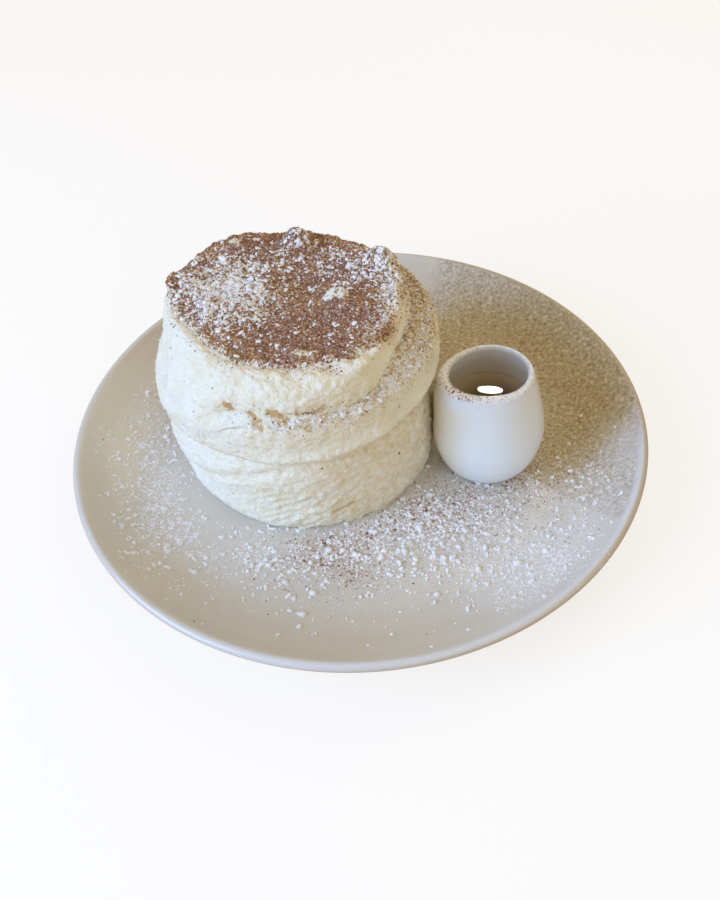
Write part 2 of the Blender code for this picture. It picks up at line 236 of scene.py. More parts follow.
def turn_between(a, b):
    """The smallest turn from angle b to angle a."""
    return (a - b + math.pi) % math.tau - math.pi


def full_turn(count):
    """Angles that go once round."""
    return math.tau * np.arange(count) / count


def eased(count):
    """Shares from 0 to 1 that lie closer together near both ends."""
    return 0.5 - 0.5 * np.cos(math.pi * np.linspace(0, 1, count))


def facing(angle, degrees, start, end):
    """1 on the side towards a direction and 0 away from it, blended between two cosines of the turn."""
    return blend(np.cos(angle - math.radians(degrees)), start, end)


def beside(angle, degrees, width):
    """A round bump about a direction, both in degrees."""
    return bump(turn_between(angle, math.radians(degrees)), math.radians(width))


def relief(points, size, octaves=3, stretch=(1, 1, 1), seed=0):
    """Uneven heights from about -1 to 1, in lumps that are about size across before any stretch."""
    scaled = points / (size * np.array(stretch)) + np.array((17.3, 5.1, 9.7)) * seed
    return np.array([noise.fractal(p, 1.0, 2.0, octaves) for p in scaled.tolist()])


def turned(x, y, degrees):
    """Distances along and across a direction."""
    c, s = math.cos(math.radians(degrees)), math.sin(math.radians(degrees))
    return x * c + y * s, y * c - x * s


def blobs(points, table):
    """A sum of soft ellipses in millimetres: x, y, half sizes, turn in degrees, and weight."""
    total = np.zeros(len(points))
    for px, py, rx, ry, turn, weight in table:
        along, across = turned(points[:, 0] / MM - px, points[:, 1] / MM - py, turn)
        total = total + weight * np.exp(-((along / rx) ** 2 + (across / ry) ** 2) / 2)
    return total


print("a blend's value a quarter of the way:", float(blend(0.25, 0, 1)))

# %% [markdown]
# The biggest mesh here has over 80,000 points, so places are read and written as whole arrays and never one
# by one. A mask is a plain number kept for each point, which a material reads by its name. Every piece that
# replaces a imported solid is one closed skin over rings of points.

# %% Mesh tools
def triples(items, name):
    """Reads three numbers from each item of a mesh."""
    values = np.empty(len(items) * 3, np.float32)
    items.foreach_get(name, values)
    return values.reshape(-1, 3).astype(float)


def points_of(piece):
    return triples(piece.data.vertices, "co")


def normals_of(piece):
    return triples(piece.data.vertex_normals, "vector")


def move_to(piece, points):
    piece.data.vertices.foreach_set("co", points.astype(np.float32).ravel())
    piece.data.update()


def push(piece, heights):
    """Moves every point along its normal by its height."""
    move_to(piece, points_of(piece) + normals_of(piece) * heights[:, None])


def paint(piece, name, values):
    """Stores one number for each point, for the material to read."""
    mask = piece.data.attributes.new(name, "FLOAT", "POINT")
    mask.data.foreach_set("value", np.clip(values, 0, 1).astype(np.float32))


def new_piece(name, points, faces, material):
    mesh = bpy.data.meshes.new(name)
    mesh.from_pydata(points, [], faces)
    mesh.update()
    mesh.shade_smooth()
    mesh.materials.append(material)
    piece = bpy.data.objects.new(name, mesh)
    bpy.context.scene.collection.objects.link(piece)
    return piece


def ring_body(name, rings, top, base, material):
    """Skins rings, each an array of points, from the middle of the top to the middle of the base."""
    around = len(rings[0])
    points = np.concatenate([[top], *rings, [base]])
    grid = 1 + np.arange(len(rings) * around).reshape(len(rings), around)
    ahead = np.roll(grid, -1, axis=1)
    quads = np.stack([grid[:-1], grid[1:], ahead[1:], ahead[:-1]], axis=-1).reshape(-1, 4)
    last = len(points) - 1
    lid = [(0, int(a), int(b)) for a, b in zip(grid[0], ahead[0])]
    foot = [(last, int(b), int(a)) for a, b in zip(grid[-1], ahead[-1])]
    return new_piece(name, points.tolist(), lid + quads.tolist() + foot, material)


def stand_for(piece, node, slot):
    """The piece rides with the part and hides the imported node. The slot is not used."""
    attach(piece, "root")
    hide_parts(node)
    print(piece.name, len(piece.data.polygons), "faces")


print("mesh tools:", ", ".join(tool.__name__ for tool in (push, paint, new_piece, ring_body, stand_for)))

# %% [markdown]
# ## Food's outlines
# The lower pancake is a thick disc whose side bulges and pulls in at its foot and at the crease over it. The
# upper one leans on it, and the cream sits on a browned shelf, runs down over one side and stands back from
# the edge on the other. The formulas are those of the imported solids, so the fine skins lie on them.

# %% Outline of the lower pancake
ANGLES = full_turn(600)
LOWER_MIDDLE = np.array((-23.5, 7.8)) * MM
UPPER_MIDDLE = np.array((-22.6, 5.0)) * MM
LOWER_RADIUS = 60.2 * MM
UPPER_RADIUS = 59.8 * MM
FOOD_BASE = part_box("lower_pancake")[0].z
DRAPE_DIRECTION = 178
SHELF_MIDDLE = 76.5 * MM


def seam(x):
    """Height of the flat joint between the pancakes, which rises towards +X."""
    return 53.3 * MM + 0.095 * (x - LOWER_MIDDLE[0])


def lower_radius(angle, share):
    lean = 0.065 + 0.035 * np.cos(angle - math.radians(145))
    foot_tuck = lean * np.clip(1 - share / 0.24, 0, 1) ** 2.6
    seam_tuck = 0.06 * np.clip((share - 0.58) / 0.42, 0, 1) ** 2.4
    uneven = (1 + 0.006 * np.cos(angle - 2.9) + 0.008 * np.cos(2 * angle - 1.2)
              + 0.006 * np.cos(3 * angle - 2.6))
    return LOWER_RADIUS * uneven * (1 - foot_tuck - seam_tuck)


print("crease over the lower pancake's middle:", round(seam(LOWER_MIDDLE[0]) / MM, 1), "mm")

# %% Outlines of the upper pancake and the cream
def shelf(angle):
    """Height of the upper pancake's browned top edge."""
    return SHELF_MIDDLE + 3.5 * MM * np.cos(angle - math.radians(30))


def draped(angle):
    """1 where the cream runs furthest down the side, 0 away from there."""
    return facing(angle, DRAPE_DIRECTION, 0.35, 0.95)


def cream_line(angle):
    return shelf(angle) - 18 * MM * draped(angle)


def crease(angle):
    return seam(UPPER_MIDDLE[0] + UPPER_RADIUS * 0.925 * np.cos(angle))


def upper_radius(angle, height):
    foot = seam(UPPER_MIDDLE[0] + UPPER_RADIUS * np.cos(angle))
    share = (height - foot) / (shelf(angle) - foot)
    reach = np.where(share > 0.42, 0.58, 0.42)
    power = 2.6 + 3.4 * (1 - np.cos(angle)) / 2
    tuck = 0.075 * np.clip(np.abs(share - 0.42) / reach, 0, 1.4) ** power
    sag = 2.4 * MM * draped(angle) * blend(share, 0, 0.25) * blend(share, 0.9, 0.4)
    uneven = 1 + 0.006 * np.cos(2 * angle - 0.4) + 0.006 * np.cos(3 * angle - 1.9)
    return UPPER_RADIUS * uneven * (1 - tuck) + sag


def wiped_in(angle, height):
    """How far the spoon pressed the left side in, higher up."""
    return 2.8 * MM * blend(-np.cos(angle), 0.2, 0.8) * blend(height, 62 * MM, 73 * MM)


def cream_radius(angle):
    inwards = 8.5 * MM * facing(angle, 8, 0.1, 0.8)
    return upper_radius(angle, cream_line(angle)) - 0.5 * MM - inwards


def ring(middle, radius, height, angles=ANGLES):
    """One ring of points round a middle. The height is given for each angle, or as a function of x and y."""
    x = middle[0] + radius * np.cos(angles)
    y = middle[1] + radius * np.sin(angles)
    if callable(height):
        height = height(x, y)
    return np.stack([x, y, np.broadcast_to(height, x.shape)], axis=1)


print("the upper pancake's top edge is", round(shelf(ANGLES).min() / MM, 1), "mm high at its lowest")

# %% [markdown]
# ## Powder as a finish
# Most of a sifted powder is too fine to be modelled grain by grain. The meshes carry painted masks for how
# much cocoa and icing sugar lies where, and a fine noise turns each mask into grains: the higher the mask,
# the more of the noise shows as powder. The brown tone itself varies, because thin cocoa is lighter.

# %% Powder as a finish
MASK_WEIGHT = 0.56
GRAIN_EDGE = (0.75, 0.83)  # a grain begins and is whole at these values of noise and weighted mask


def covered(tree, place, mask, size):
    """1 where powder of one kind lies, from its painted mask and a noise as fine as its grains."""
    density = add(tree, "Attribute", out="Fac", attribute_name=mask)
    grain = add(tree, "TexNoise", {"Vector": place, "Scale": 1 / size, "Detail": 2.0, "Roughness": 0.6})
    total = add(tree, "Math", {0: density, 1: MASK_WEIGHT, 2: grain}, operation="MULTIPLY_ADD")
    return add(tree, "MapRange", {"Value": total, "From Min": GRAIN_EDGE[0], "From Max": GRAIN_EDGE[1]})


def filmed(tree, under, mask, share, colour):
    """A colour seen through powder too fine to show as grains."""
    density = add(tree, "Attribute", out="Fac", attribute_name=mask)
    thin = add(tree, "Math", {0: density, 1: share}, operation="MULTIPLY")
    return add(tree, "Mix", {"Factor": thin, "A": under, "B": linear(colour)}, **COLOURS)


def dusted(tree, place, under):
    """Cocoa, and icing sugar over it, on top of a colour."""
    under = filmed(tree, under, "sugar", 0.45, "eff1f5")
    under = filmed(tree, under, "cocoa", 0.30, "b08f78")
    fine = add(tree, "TexNoise", {"Vector": place, "Scale": 1 / (1.0 * MM), "Detail": 2.0})
    broad = add(tree, "TexNoise", {"Vector": place, "Scale": 1 / (16 * MM), "Detail": 1.0})
    warm = add(tree, "ValToRGB", {"Fac": fine}, ((0.34, "825b3c"), (0.5, "ac815b"), (0.68, "e3c4a0")))
    cool = add(tree, "ValToRGB", {"Fac": fine}, ((0.34, "765042"), (0.5, "9d745f"), (0.68, "dbbbaa")))
    steep = add(tree, "MapRange", {"Value": broad, "From Min": 0.42, "From Max": 0.58})
    brown = add(tree, "Mix", {"Factor": steep, "A": warm, "B": cool}, **COLOURS)
    for mask, size, powder in (("cocoa", 1.2 * MM, brown), ("sugar", 1.5 * MM, linear("f5f5f7"))):
        lying = covered(tree, place, mask, size)
        under = add(tree, "Mix", {"Factor": lying, "A": under, "B": powder}, **COLOURS)
    return under


print("a full mask adds", MASK_WEIGHT, "to the noise, and a grain begins at", GRAIN_EDGE[0])

# %% [markdown]
# ## Crumb and cream
# A souffle pancake is whipped egg white and flour, steamed under a lid: pale, matt and finely porous, with
# light going a few millimetres into it. Whipped cream is whiter and a little smoother. Diffuse white with
# some subsurface scattering gives the eye that softness, and a fine bump gives pores and drying skin.

# %% Crumb and cream
def food_finish(name, colour, deep_colour, pore_shade_colour, scatter):
    """A pale porous surface with painted shade in its pores, and painted crust, shade, cocoa and icing sugar.
    """
    material, tree, shader = new_material(name, Roughness=0.62, Subsurface_Weight=scatter, IOR=1.4,
                                          Subsurface_Radius=(1.0, 0.75, 0.45), Subsurface_Scale=3.0 * MM)
    place = add(tree, "TexCoord", out="Object")
    clouds = add(tree, "TexNoise", {"Vector": place, "Scale": 1 / (9 * MM), "Detail": 4.0})
    base = add(tree, "ValToRGB", {"Fac": clouds}, ((0.35, deep_colour), (0.6, colour)))
    golden = add(tree, "ValToRGB", {"Fac": clouds}, ((0.35, "c99f5a"), (0.65, "e0c088")))
    pores = add(tree, "TexNoise", {"Vector": place, "Scale": 1 / (1.0 * MM), "Detail": 3.0, "Roughness": 0.6})
    # Painted shade in the pores: the colour darkens where the bump is lowest
    shade = add(tree, "MapRange", {"Value": pores, "From Min": 0.47, "From Max": 0.3, "To Max": 0.38})
    shaded_pores = add(tree, "Mix", {"Factor": shade, "A": base, "B": linear(pore_shade_colour)}, **COLOURS)
    crust_and_shade = add(tree, "Attribute", out="Fac", attribute_name="crust_and_shade")
    skin = add(tree, "Mix", {"Factor": crust_and_shade, "A": shaded_pores, "B": golden}, **COLOURS)
    tree.links.new(dusted(tree, place, skin), shader.inputs["Base Color"])
    bumpy = add(tree, "Bump", {"Height": pores, "Strength": 1.0, "Distance": 0.6 * MM})
    tree.links.new(bumpy, shader.inputs["Normal"])
    return material


crumb = food_finish("souffle_crumb_steamed", "fbf8ea", "f5f0da", "d4caa6", 0.3)
cream_finish = food_finish("whipped_cream_spread", "fcf9ea", "f5f1db", "dad2b2", 0.35)
print("finishes:", crumb.name, "and", cream_finish.name)

# %% [markdown]
# ## Lower pancake
# It was poured in a ring and steamed, so its side is round and soft, with a long fold where the batter
# slumped, slanting stretch lines low on the front, and a small tear near the plate. Folds and lines are real
# relief on a fine mesh, because they change the outline and the shadows, which a bump can't.

# %% Lower pancake
SEAM_GAP = 0.15 * MM  # keeps each pancake's skin clear of the flat joint


def lower_ring(share, radius_share=1.0):
    """A ring of the side at a share of its height, or of the flat ends when radius_share is under 1."""
    radius = lower_radius(ANGLES, share) * radius_share
    top = seam(LOWER_MIDDLE[0] + radius * np.cos(ANGLES)) - SEAM_GAP
    return ring(LOWER_MIDDLE, radius, FOOD_BASE + (top - FOOD_BASE) * share)


def arc_to(degrees):
    """Length along the side from the front to a direction."""
    return LOWER_RADIUS * math.radians(degrees - FRONT)


def survey(piece, middle):
    """For each point of a piece: its place, how far its normal points up, and, round a middle, its angle, its
    distance and its length along the side from the front."""
    points = points_of(piece)
    offset = points[:, :2] - middle
    angle = np.arctan2(offset[:, 1], offset[:, 0])
    arc = LOWER_RADIUS * turn_between(angle, math.radians(FRONT))
    return points, normals_of(piece)[:, 2], angle, np.hypot(offset[:, 0], offset[:, 1]), arc


def crumb_relief(points, seed):
    """The unevenness of a steamed crumb: soft lumps, small creases and grain."""
    return (0.6 * MM * relief(points, 20 * MM, 2, seed=seed)
            + 0.34 * MM * relief(points, 4.5 * MM, 2, seed=seed + 1)
            + 0.5 * MM * relief(points, 2.1 * MM, 3, (1.2, 1.2, 0.9), seed + 2))


rings = [lower_ring(1, share) for share in (0.3, 0.6, 0.8, 0.9, 0.96)]
rings += [lower_ring(share) for share in eased(92)[::-1]]
rings += [lower_ring(0, share) for share in (0.97, 0.9, 0.6, 0.3)]
lower_pancake = ring_body("lower_pancake_crumb", rings, (*LOWER_MIDDLE, seam(LOWER_MIDDLE[0]) - SEAM_GAP),
                          (*LOWER_MIDDLE, FOOD_BASE), crumb)
print("lower pancake:", len(rings), "rings")

# %% [markdown]
# Each feature is a height along the normal, limited to the place where it belongs, and all of them are
# added up: a groove under a soft roll for the fold, noise drawn out along a slant for the stretch lines, and
# a short uneven groove for the tear. On the side turned away from the window the crumb is painted yellower,
# and darker in a band and a line just under the crease, as painted shade.

# %% Lower pancake's relief
points, upward, angle, distance, arc = survey(lower_pancake, LOWER_MIDDLE)
height = points[:, 2]
on_side = blend(np.abs(upward), 0.92, 0.6)

fold_height = 22 * MM + 24 * MM * blend(angle, math.radians(-165), math.radians(-88))
fold_here = (blend(angle, math.radians(-178), math.radians(-150))
             * blend(angle, math.radians(-82), math.radians(-100)))
above_fold = height - fold_height
fold = -0.9 * MM * bump(above_fold, 2.6 * MM) + 0.6 * MM * bump(above_fold - 5 * MM, 4 * MM)
slanted = np.stack([*turned(arc, height, 30), distance], axis=1)
lines_here = blend(height, 50 * MM, 26 * MM) * (0.3 + 0.7 * blend(arc, -35 * MM, 5 * MM))
stretch_lines = 0.8 * MM * relief(slanted, 2.0 * MM, 3, (5, 1, 1), 1) * lines_here
lean = 0.6 * MM * beside(angle, -33, 34) * blend(height, 50 * MM, 32 * MM)
lean -= 2.2 * MM * beside(angle, -150, 30) * blend(height, 36 * MM, 20 * MM)
tear_height = 18.6 * MM + 0.15 * (arc - 10 * MM) + 0.9 * MM * relief(points, 5 * MM, 2, seed=5)
tear = bump(height - tear_height, 0.9 * MM) * blend(arc, 8 * MM, 11 * MM) * blend(arc, 24 * MM, 19 * MM)
below_seam = seam(points[:, 0]) - height
in_front = facing(angle, -45, 0.1, 0.8)
lip = -2.8 * MM * bump(below_seam, 5 * MM) * in_front
turned_away = 1 + 0.5 * facing(angle, -10, 0, 0.7)
push(lower_pancake, on_side * (turned_away * crumb_relief(points, 2) + fold * fold_here + stretch_lines + lean
                               - 0.8 * MM * tear + lip))
# Painted shade: yellower crumb on the side away from the window, darker in a band and a line under the crease
shaded = facing(angle, -25, 0.1, 0.9)
painted_shade = 0.25 + 0.22 * bump(below_seam - 2 * MM, 6 * MM) + 0.3 * bump(below_seam - 3 * MM, 1.3 * MM)
painted_shade *= 1 + 1.2 * relief(points, 2.3 * MM, 3, seed=35)
paint(lower_pancake, "crust_and_shade", on_side * (0.6 * tear + shaded * painted_shade))
paint(lower_pancake, "cocoa", np.zeros(len(points)))
paint(lower_pancake, "sugar", np.zeros(len(points)))
stand_for(lower_pancake, "lower_pancake", "pancake")

# %% [markdown]
# ## Upper pancake
# A band of its side shows, and on one side a strip of its browned top. Its foot hangs over the crease in a
# soft roll. The strip is crumbly, with powder and torn crumb lying on it.

# %% Golden patches
# Direction in degrees, height, half length, half width, slope and strength of each patch
GOLDEN_PATCHES = ((-118, 76.8, 2.6, 2.2, -0.6, 1), (-107.5, 74.2, 4.2, 2.0, -0.62, 1),
                  (-98, 76.4, 4.8, 2.3, -0.6, 1), (-87.5, 79.3, 3.2, 2.2, 0, 0.4),
                  (-82, 77.9, 2.6, 2.6, -0.3, 0.45))


def golden_patches(points, arc):
    """How much browned skin shows at each point, and how many brown specks lie along its lower edge."""
    patches, specks = np.zeros(len(points)), np.zeros(len(points))
    uneven = relief(points, 2.2 * MM, 3, seed=29)
    for turn, up, wide, tall, slope, strength in GOLDEN_PATCHES:
        across = arc - arc_to(turn)
        rise = points[:, 2] - up * MM - slope * across
        shape = (across / (wide * MM)) ** 2 + (rise / (tall * MM)) ** 2 + 1.3 * uneven
        patches = np.maximum(patches, strength * blend(shape, 1.4, 0.6))
        specks += 0.4 * strength * bump(across, 1.6 * wide * MM) * bump(rise + tall * MM, 1.3 * MM)
    return patches, specks


print(len(GOLDEN_PATCHES), "golden patches")

# %% [markdown]
# Its skin runs in rings from the middle of the browned top out to the edge, down the side and back in under
# the base. One mesh without a join can then be pushed anywhere, also right at the crease.

# %% Upper pancake
def upper_side_ring(share):
    foot = crease(ANGLES) + SEAM_GAP
    height = foot + (shelf(ANGLES) - SEAM_GAP - foot) * share
    return ring(UPPER_MIDDLE, upper_radius(ANGLES, height) - wiped_in(ANGLES, height), height)


def upper_base_ring(share):
    radius = share * upper_radius(ANGLES, crease(ANGLES))
    return ring(UPPER_MIDDLE, radius, seam(UPPER_MIDDLE[0] + radius * np.cos(ANGLES)) + SEAM_GAP)


def upper_top_ring(share):
    radius = share * (upper_radius(ANGLES, shelf(ANGLES)) - wiped_in(ANGLES, shelf(ANGLES)))
    height = shelf(ANGLES) * share ** 4 + SHELF_MIDDLE * (1 - share ** 4) - SEAM_GAP
    return ring(UPPER_MIDDLE, radius, height)


rings = [upper_top_ring(share) for share in (0.3, 0.5, 0.6, *np.linspace(0.66, 0.995, 26))]
rings += [upper_side_ring(share) for share in eased(56)[::-1]]
rings += [upper_base_ring(share) for share in (0.985, 0.95, 0.9, 0.6, 0.3)]
upper_pancake = ring_body("upper_pancake_crumb", rings, (*UPPER_MIDDLE, SHELF_MIDDLE - SEAM_GAP),
                          (*UPPER_MIDDLE, seam(UPPER_MIDDLE[0]) + SEAM_GAP), crumb)
print("upper pancake:", len(rings), "rings")

# %% Upper pancake's relief and powder
POWDERED_CORNER = ((15, -31, 9, 4, 35, 1),)
points, upward, angle, distance, arc = survey(upper_pancake, UPPER_MIDDLE)
height = points[:, 2]
showing = blend(upward, -0.97, -0.7)
on_top = blend(upward, 0.2, 0.75)
strip = on_top * 0.75 * MM * relief(points, 3.2 * MM, 4, seed=9)
shoulder_drop = shelf(angle) - height
rounded = (-1.2 * MM * bump(shoulder_drop, 2.2 * MM) * blend(distance, 50 * MM, 57 * MM)
           * facing(angle, 0, 0, 0.45))
above_crease = height - seam(points[:, 0])
overhang = 2.5 * MM * bump(above_crease - 2.4 * MM, 2.6 * MM) * facing(angle, -45, 0.1, 0.8)
patches, line_of_specks = golden_patches(points, arc)
push(upper_pancake, showing * (crumb_relief(points, 6) + strip + overhang) + rounded - 0.3 * MM * patches)

right_side = facing(angle, -5, -0.1, 0.5)
near_edge = bump(shoulder_drop, 6 * MM)
golden_end = beside(angle, 28, 14) * near_edge
paint(upper_pancake, "crust_and_shade", 0.32 * right_side * near_edge + 0.5 * golden_end + 0.9 * patches)
powdered = blobs(points, POWDERED_CORNER)
cocoa_here = 0.27 * on_top + 0.32 * (1 - on_top) * bump(shoulder_drop, 7 * MM)
sugar_here = 0.37 * on_top + 0.22 * (1 - on_top) * bump(shoulder_drop, 5 * MM)
paint(upper_pancake, "cocoa", 0.4 * line_of_specks + right_side * (1 - 0.6 * powdered) * cocoa_here)
paint(upper_pancake, "sugar", 0.5 * powdered + right_side * sugar_here)
stand_for(upper_pancake, "upper_pancake", "pancake")

# %% [markdown]
# ## Whipped cream
# Cream spread with a spoon has a nearly level top with ridges, curls and pulled-up peaks, and a side wiped
# nearly upright. The top is a map of heights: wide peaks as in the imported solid, then small spoon marks,
# then noise. The cocoa ends along its own measured outline, just inside the edge of the top.

# %% Cream's measurements
CREAM_LEVEL = 89 * MM
CREAM_SUMMIT = 98.8 * MM
CREAM_FOOT = 74 * MM
CREAM_UNDERSIDE = CREAM_FOOT - 1 * MM
HEM_DROP = 1.5 * MM  # the hem starts this far under the cream's lower edge
SKIN_GAP = 0.12 * MM  # between the pancake's skin and the cream that runs down over it
SQUEEZE = 1.2 * MM  # the peaks' last part is pressed into this height
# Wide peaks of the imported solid: distance from the middle, direction in degrees, height and width
WIDE_PEAKS = ((36.5, 86, 9.4, 4.2), (42, 25, 9.2, 4.4), (49, 166, 5.6, 8), (30, 200, 2.5, 9),
              (42, 125, 4.8, 11), (20, -15, 2, 6), (16, 60, -3, 13), (52, 172, 1.2, 3))
# Small ridges, curls and dips left by the spoon: x, y, height, half length, half width, direction in degrees
SPOON_MARKS = ((-5, 2, 4.2, 5, 3.2, 12), (-2, 1, 1.8, 2.2, 1.6, 60), (-18.5, -31, 2.6, 6.2, 2.8, -6),
               (-9, -34.5, 2.0, 3.4, 2.2, 20), (-3.2, -38, 2.2, 3.2, 2.4, -10),
               (3.3, -38, 3.0, 3.4, 3.0, 10), (-21, 40, 1.3, 4, 3.4, 0), (11, -29, 1.8, 4, 2, 45),
               (20, 3, 2.4, 9, 1.8, 88), (-57, -4, 2.6, 9, 1.7, 92), (-51, 0, 2.0, 6, 1.5, 8),
               (-31, 0, -2.4, 7, 4, -10), (-29, 5, 2.2, 8, 1.8, -20), (-63, 33, 2.6, 4, 2.4, 50),
               (-47, 40, 2.4, 4, 2.2, 30), (-38, 43, 2.0, 3, 2.2, 0), (-75, 13, 1.4, 3.2, 2.2, 100),
               (-8, 22, 2.0, 9, 1.6, 5), (6, 14, 1.8, 6, 1.5, 60), (-60, 22, 1.8, 6, 1.5, 30),
               (-12, -12, -1.2, 9, 5, 0), (-40, 28, -1.4, 8, 5, 20), (-2, 30, 1.8, 7, 1.5, -15),
               (-36, 16, 1.6, 7, 1.4, 40), (-48, -18, 1.2, 6, 1.3, -30), (8, -6, 1.2, 5, 1.4, 100),
               (-28, 34, 1.4, 6, 1.6, 10), (12, 26, 1.6, 5, 1.6, 130), (-42, -24, 1.2, 5, 1.6, 150))
# Outlines seen from above, as directions in degrees and distances from the middle: where the level top ends,
# where the cocoa ends, and the foot of the cream's side where it's set back
TOP_EDGE = ((0, 43), (12, 44), (24, 44), (35, 41.5), (50, 38.5), (67, 38.5), (83, 42.5), (98, 45),
            (108, 48), (123, 50), (138, 51.8), (159, 52.4), (175, 50), (188, 48), (199, 46), (212, 43.4),
            (225, 42), (236, 41.6), (248, 42.4), (261, 43.6), (273, 45), (285, 46.4), (294, 48),
            (301, 48.8), (308, 46.8), (315, 44), (323, 42), (340, 41.5), (352, 42))
COCOA_OUTLINE = ((0, 44), (12, 46), (24, 49), (35, 52), (50, 53), (67, 53), (83, 54), (98, 55), (108, 56),
                 (123, 57), (138, 57), (159, 55), (175, 50.5), (188, 46), (199, 43), (212, 41.2),
                 (225, 41.2), (236, 41.8), (248, 40.8), (261, 41.6), (273, 42.4), (285, 43), (294, 44.5),
                 (301, 45), (308, 43.6), (315, 43.2), (323, 43), (340, 42.6), (352, 42.8))
FOOT_LINE = ((-85, 57.4), (-75, 56.4), (-65, 54.4), (-57, 53.2), (-50, 51.2), (-42, 48.4), (-31, 46.2),
             (-19, 46), (-6, 48), (8, 49.6), (20, 50.4), (35, 50.8), (50, 51.5), (67, 52.5), (83, 54.5),
             (98, 56))


def smooth_outline(table):
    """A closed outline from a few measured distances, with its corners rounded off."""
    turns, reach = zip(*table)
    samples = np.interp(np.arange(360), turns, reach, period=360)
    weights = np.hanning(15) / np.hanning(15).sum()
    return np.convolve(np.tile(samples, 3), weights, mode="same")[360:720] * MM


TOP_REACH, COCOA_REACH, FOOT_REACH = (smooth_outline(table) for table in (TOP_EDGE, COCOA_OUTLINE, FOOT_LINE))
print("the level top reaches", round(TOP_REACH.min() / MM), "to", round(TOP_REACH.max() / MM), "mm out")

# %% [markdown]
# The cream's skin has three bands. The top follows its map of heights, the shoulder rolls over like a
# quarter of a squared circle, and the hem thins out and dives into the pancake, so that no gap or sharp edge
# shows where the two meet.

# %% Cream's shape
def reach_at(angle, outline):
    return np.interp(np.degrees(angle), np.arange(360), outline, period=360)


def cream_top(x, y):
    """Height of the level top with its wide peaks, at arrays of x and y."""
    height = np.full(np.shape(x), CREAM_LEVEL)
    for far, turn, rise, width in WIDE_PEAKS:
        px = UPPER_MIDDLE[0] + far * MM * math.cos(math.radians(turn))
        py = UPPER_MIDDLE[1] + far * MM * math.sin(math.radians(turn))
        height = height + rise * MM * np.exp(-((x - px) ** 2 + (y - py) ** 2) / (2 * (width * MM) ** 2))
    return height


def spoon_marks(x, y):
    height = np.zeros(np.shape(x))
    for px, py, rise, length, width, turn in SPOON_MARKS:
        along, across = turned(x - px * MM, y - py * MM, turn)
        fall = np.abs(along / (length * MM)) ** 3 + (across / (width * MM)) ** 2
        height = height + rise * MM * np.exp(-fall)
    return height


def set_back(angle):
    """1 where the cream stands back from the pancake's side, 0 where its side runs on into it."""
    degrees = np.degrees(turn_between(angle, 0))
    return blend(degrees, -92, -78) * blend(degrees, 112, 92)


def cream_edge(angle):
    """Height of the cream's lower edge. Where it's draped it ends in the crease, out of sight."""
    return np.maximum(shelf(angle) - 26 * MM * draped(angle), crease(angle) + 4 * MM)


def foot_radius(angle):
    flush_radius = upper_radius(angle, cream_edge(angle)) + SKIN_GAP
    foot = reach_at(angle, FOOT_REACH)
    return flush_radius + (np.minimum(foot, flush_radius) - flush_radius) * set_back(angle)


def plateau(angle):
    return np.minimum(reach_at(angle, TOP_REACH), foot_radius(angle) - 1.8 * MM)


def shoulder_ring(turn):
    """A ring on the rounded shoulder, from the cream's lower edge (0) up to the level top (90 degrees)."""
    power = 2 / (2.6 - 0.5 * draped(ANGLES))
    outwards, upwards = math.cos(math.radians(turn)) ** power, math.sin(math.radians(turn)) ** power
    flat = plateau(ANGLES)
    radius = flat + (foot_radius(ANGLES) - flat) * outwards
    low = cream_edge(ANGLES) - HEM_DROP
    height = low + (CREAM_LEVEL - low) * upwards
    skirt = upper_radius(ANGLES, np.minimum(height, shelf(ANGLES))) + SKIN_GAP
    skirt_share = (1 - set_back(ANGLES)) * blend(height - cream_edge(ANGLES), 9 * MM, 0)
    radius = radius + (skirt - radius) * skirt_share
    radius = radius - wiped_in(ANGLES, height) * blend(turn, 90, 60)
    return ring(UPPER_MIDDLE, radius, lambda x, y: low + (cream_top(x, y) - low) * upwards)


def cream_hem_ring(drop, inset):
    """A ring of the hem, which thins out against the pancake's side and dives into it."""
    height = cream_edge(ANGLES) - HEM_DROP - drop
    against = upper_radius(ANGLES, height) - inset
    return ring(UPPER_MIDDLE, against + (foot_radius(ANGLES) - inset - against) * set_back(ANGLES), height)


lower_edge = [round(v / MM, 1) for v in (cream_edge(ANGLES).min(), cream_edge(ANGLES).max())]
print("the cream's lower edge runs between heights of", *lower_edge, "mm")

# %% Cream
rings = [ring(UPPER_MIDDLE, share * plateau(ANGLES), cream_top) for share in np.linspace(0.014, 1, 70)]
rings += [shoulder_ring(turn) for turn in np.linspace(88, 2, 58)]
rings += [cream_hem_ring(0.8 * MM, 0), cream_hem_ring(1.8 * MM, 0.4 * MM), cream_hem_ring(2.1 * MM, 2 * MM)]
hem_height = cream_edge(ANGLES) - 3.3 * MM
rings += [ring(UPPER_MIDDLE, share * (foot_radius(ANGLES) - 2 * MM),
               CREAM_UNDERSIDE + (hem_height - CREAM_FOOT) * share ** 4) for share in (0.9, 0.6, 0.3)]
cream = ring_body("whipped_cream", rings, (*UPPER_MIDDLE, float(cream_top(*UPPER_MIDDLE))),
                  (*UPPER_MIDDLE, CREAM_UNDERSIDE), cream_finish)
print("cream:", len(rings), "rings")

# %% [markdown]
# The relief is pushed out along the normals, and the very highest points are squeezed so that the peaks keep
# their packed height. Then come the masks: cocoa inside its outline, bare where a curl rose through it, a
# few golden patches where the spoon wiped the hem down to the pancake's skin, and a heap of icing sugar.

# %% Cream's relief
SUGAR_HEAPS = ((-53, 9, 12, 10, 0, 0.62), (-45, 15, 8, 8, 0, 0.44), (-62, 12, 6, 6, 0, 0.20),
               (-50, -7, 9, 6, 0, 0.42), (-47, 30, 13, 6, 0, 0.26), (6, 27, 12, 7, 10, 0.23),
               (-7, 34, 8, 6, 0, 0.14), (13, 14, 6, 9, 0, 0.21), (-20, 0, 38, 32, 0, 0.065),
               (-21, 41, 4, 4, 0, 0.30), (18, 4, 4, 14, 0, 0.11))
WALL_FOLD = ((12, -20, 7, 2.5, 52, 1),)

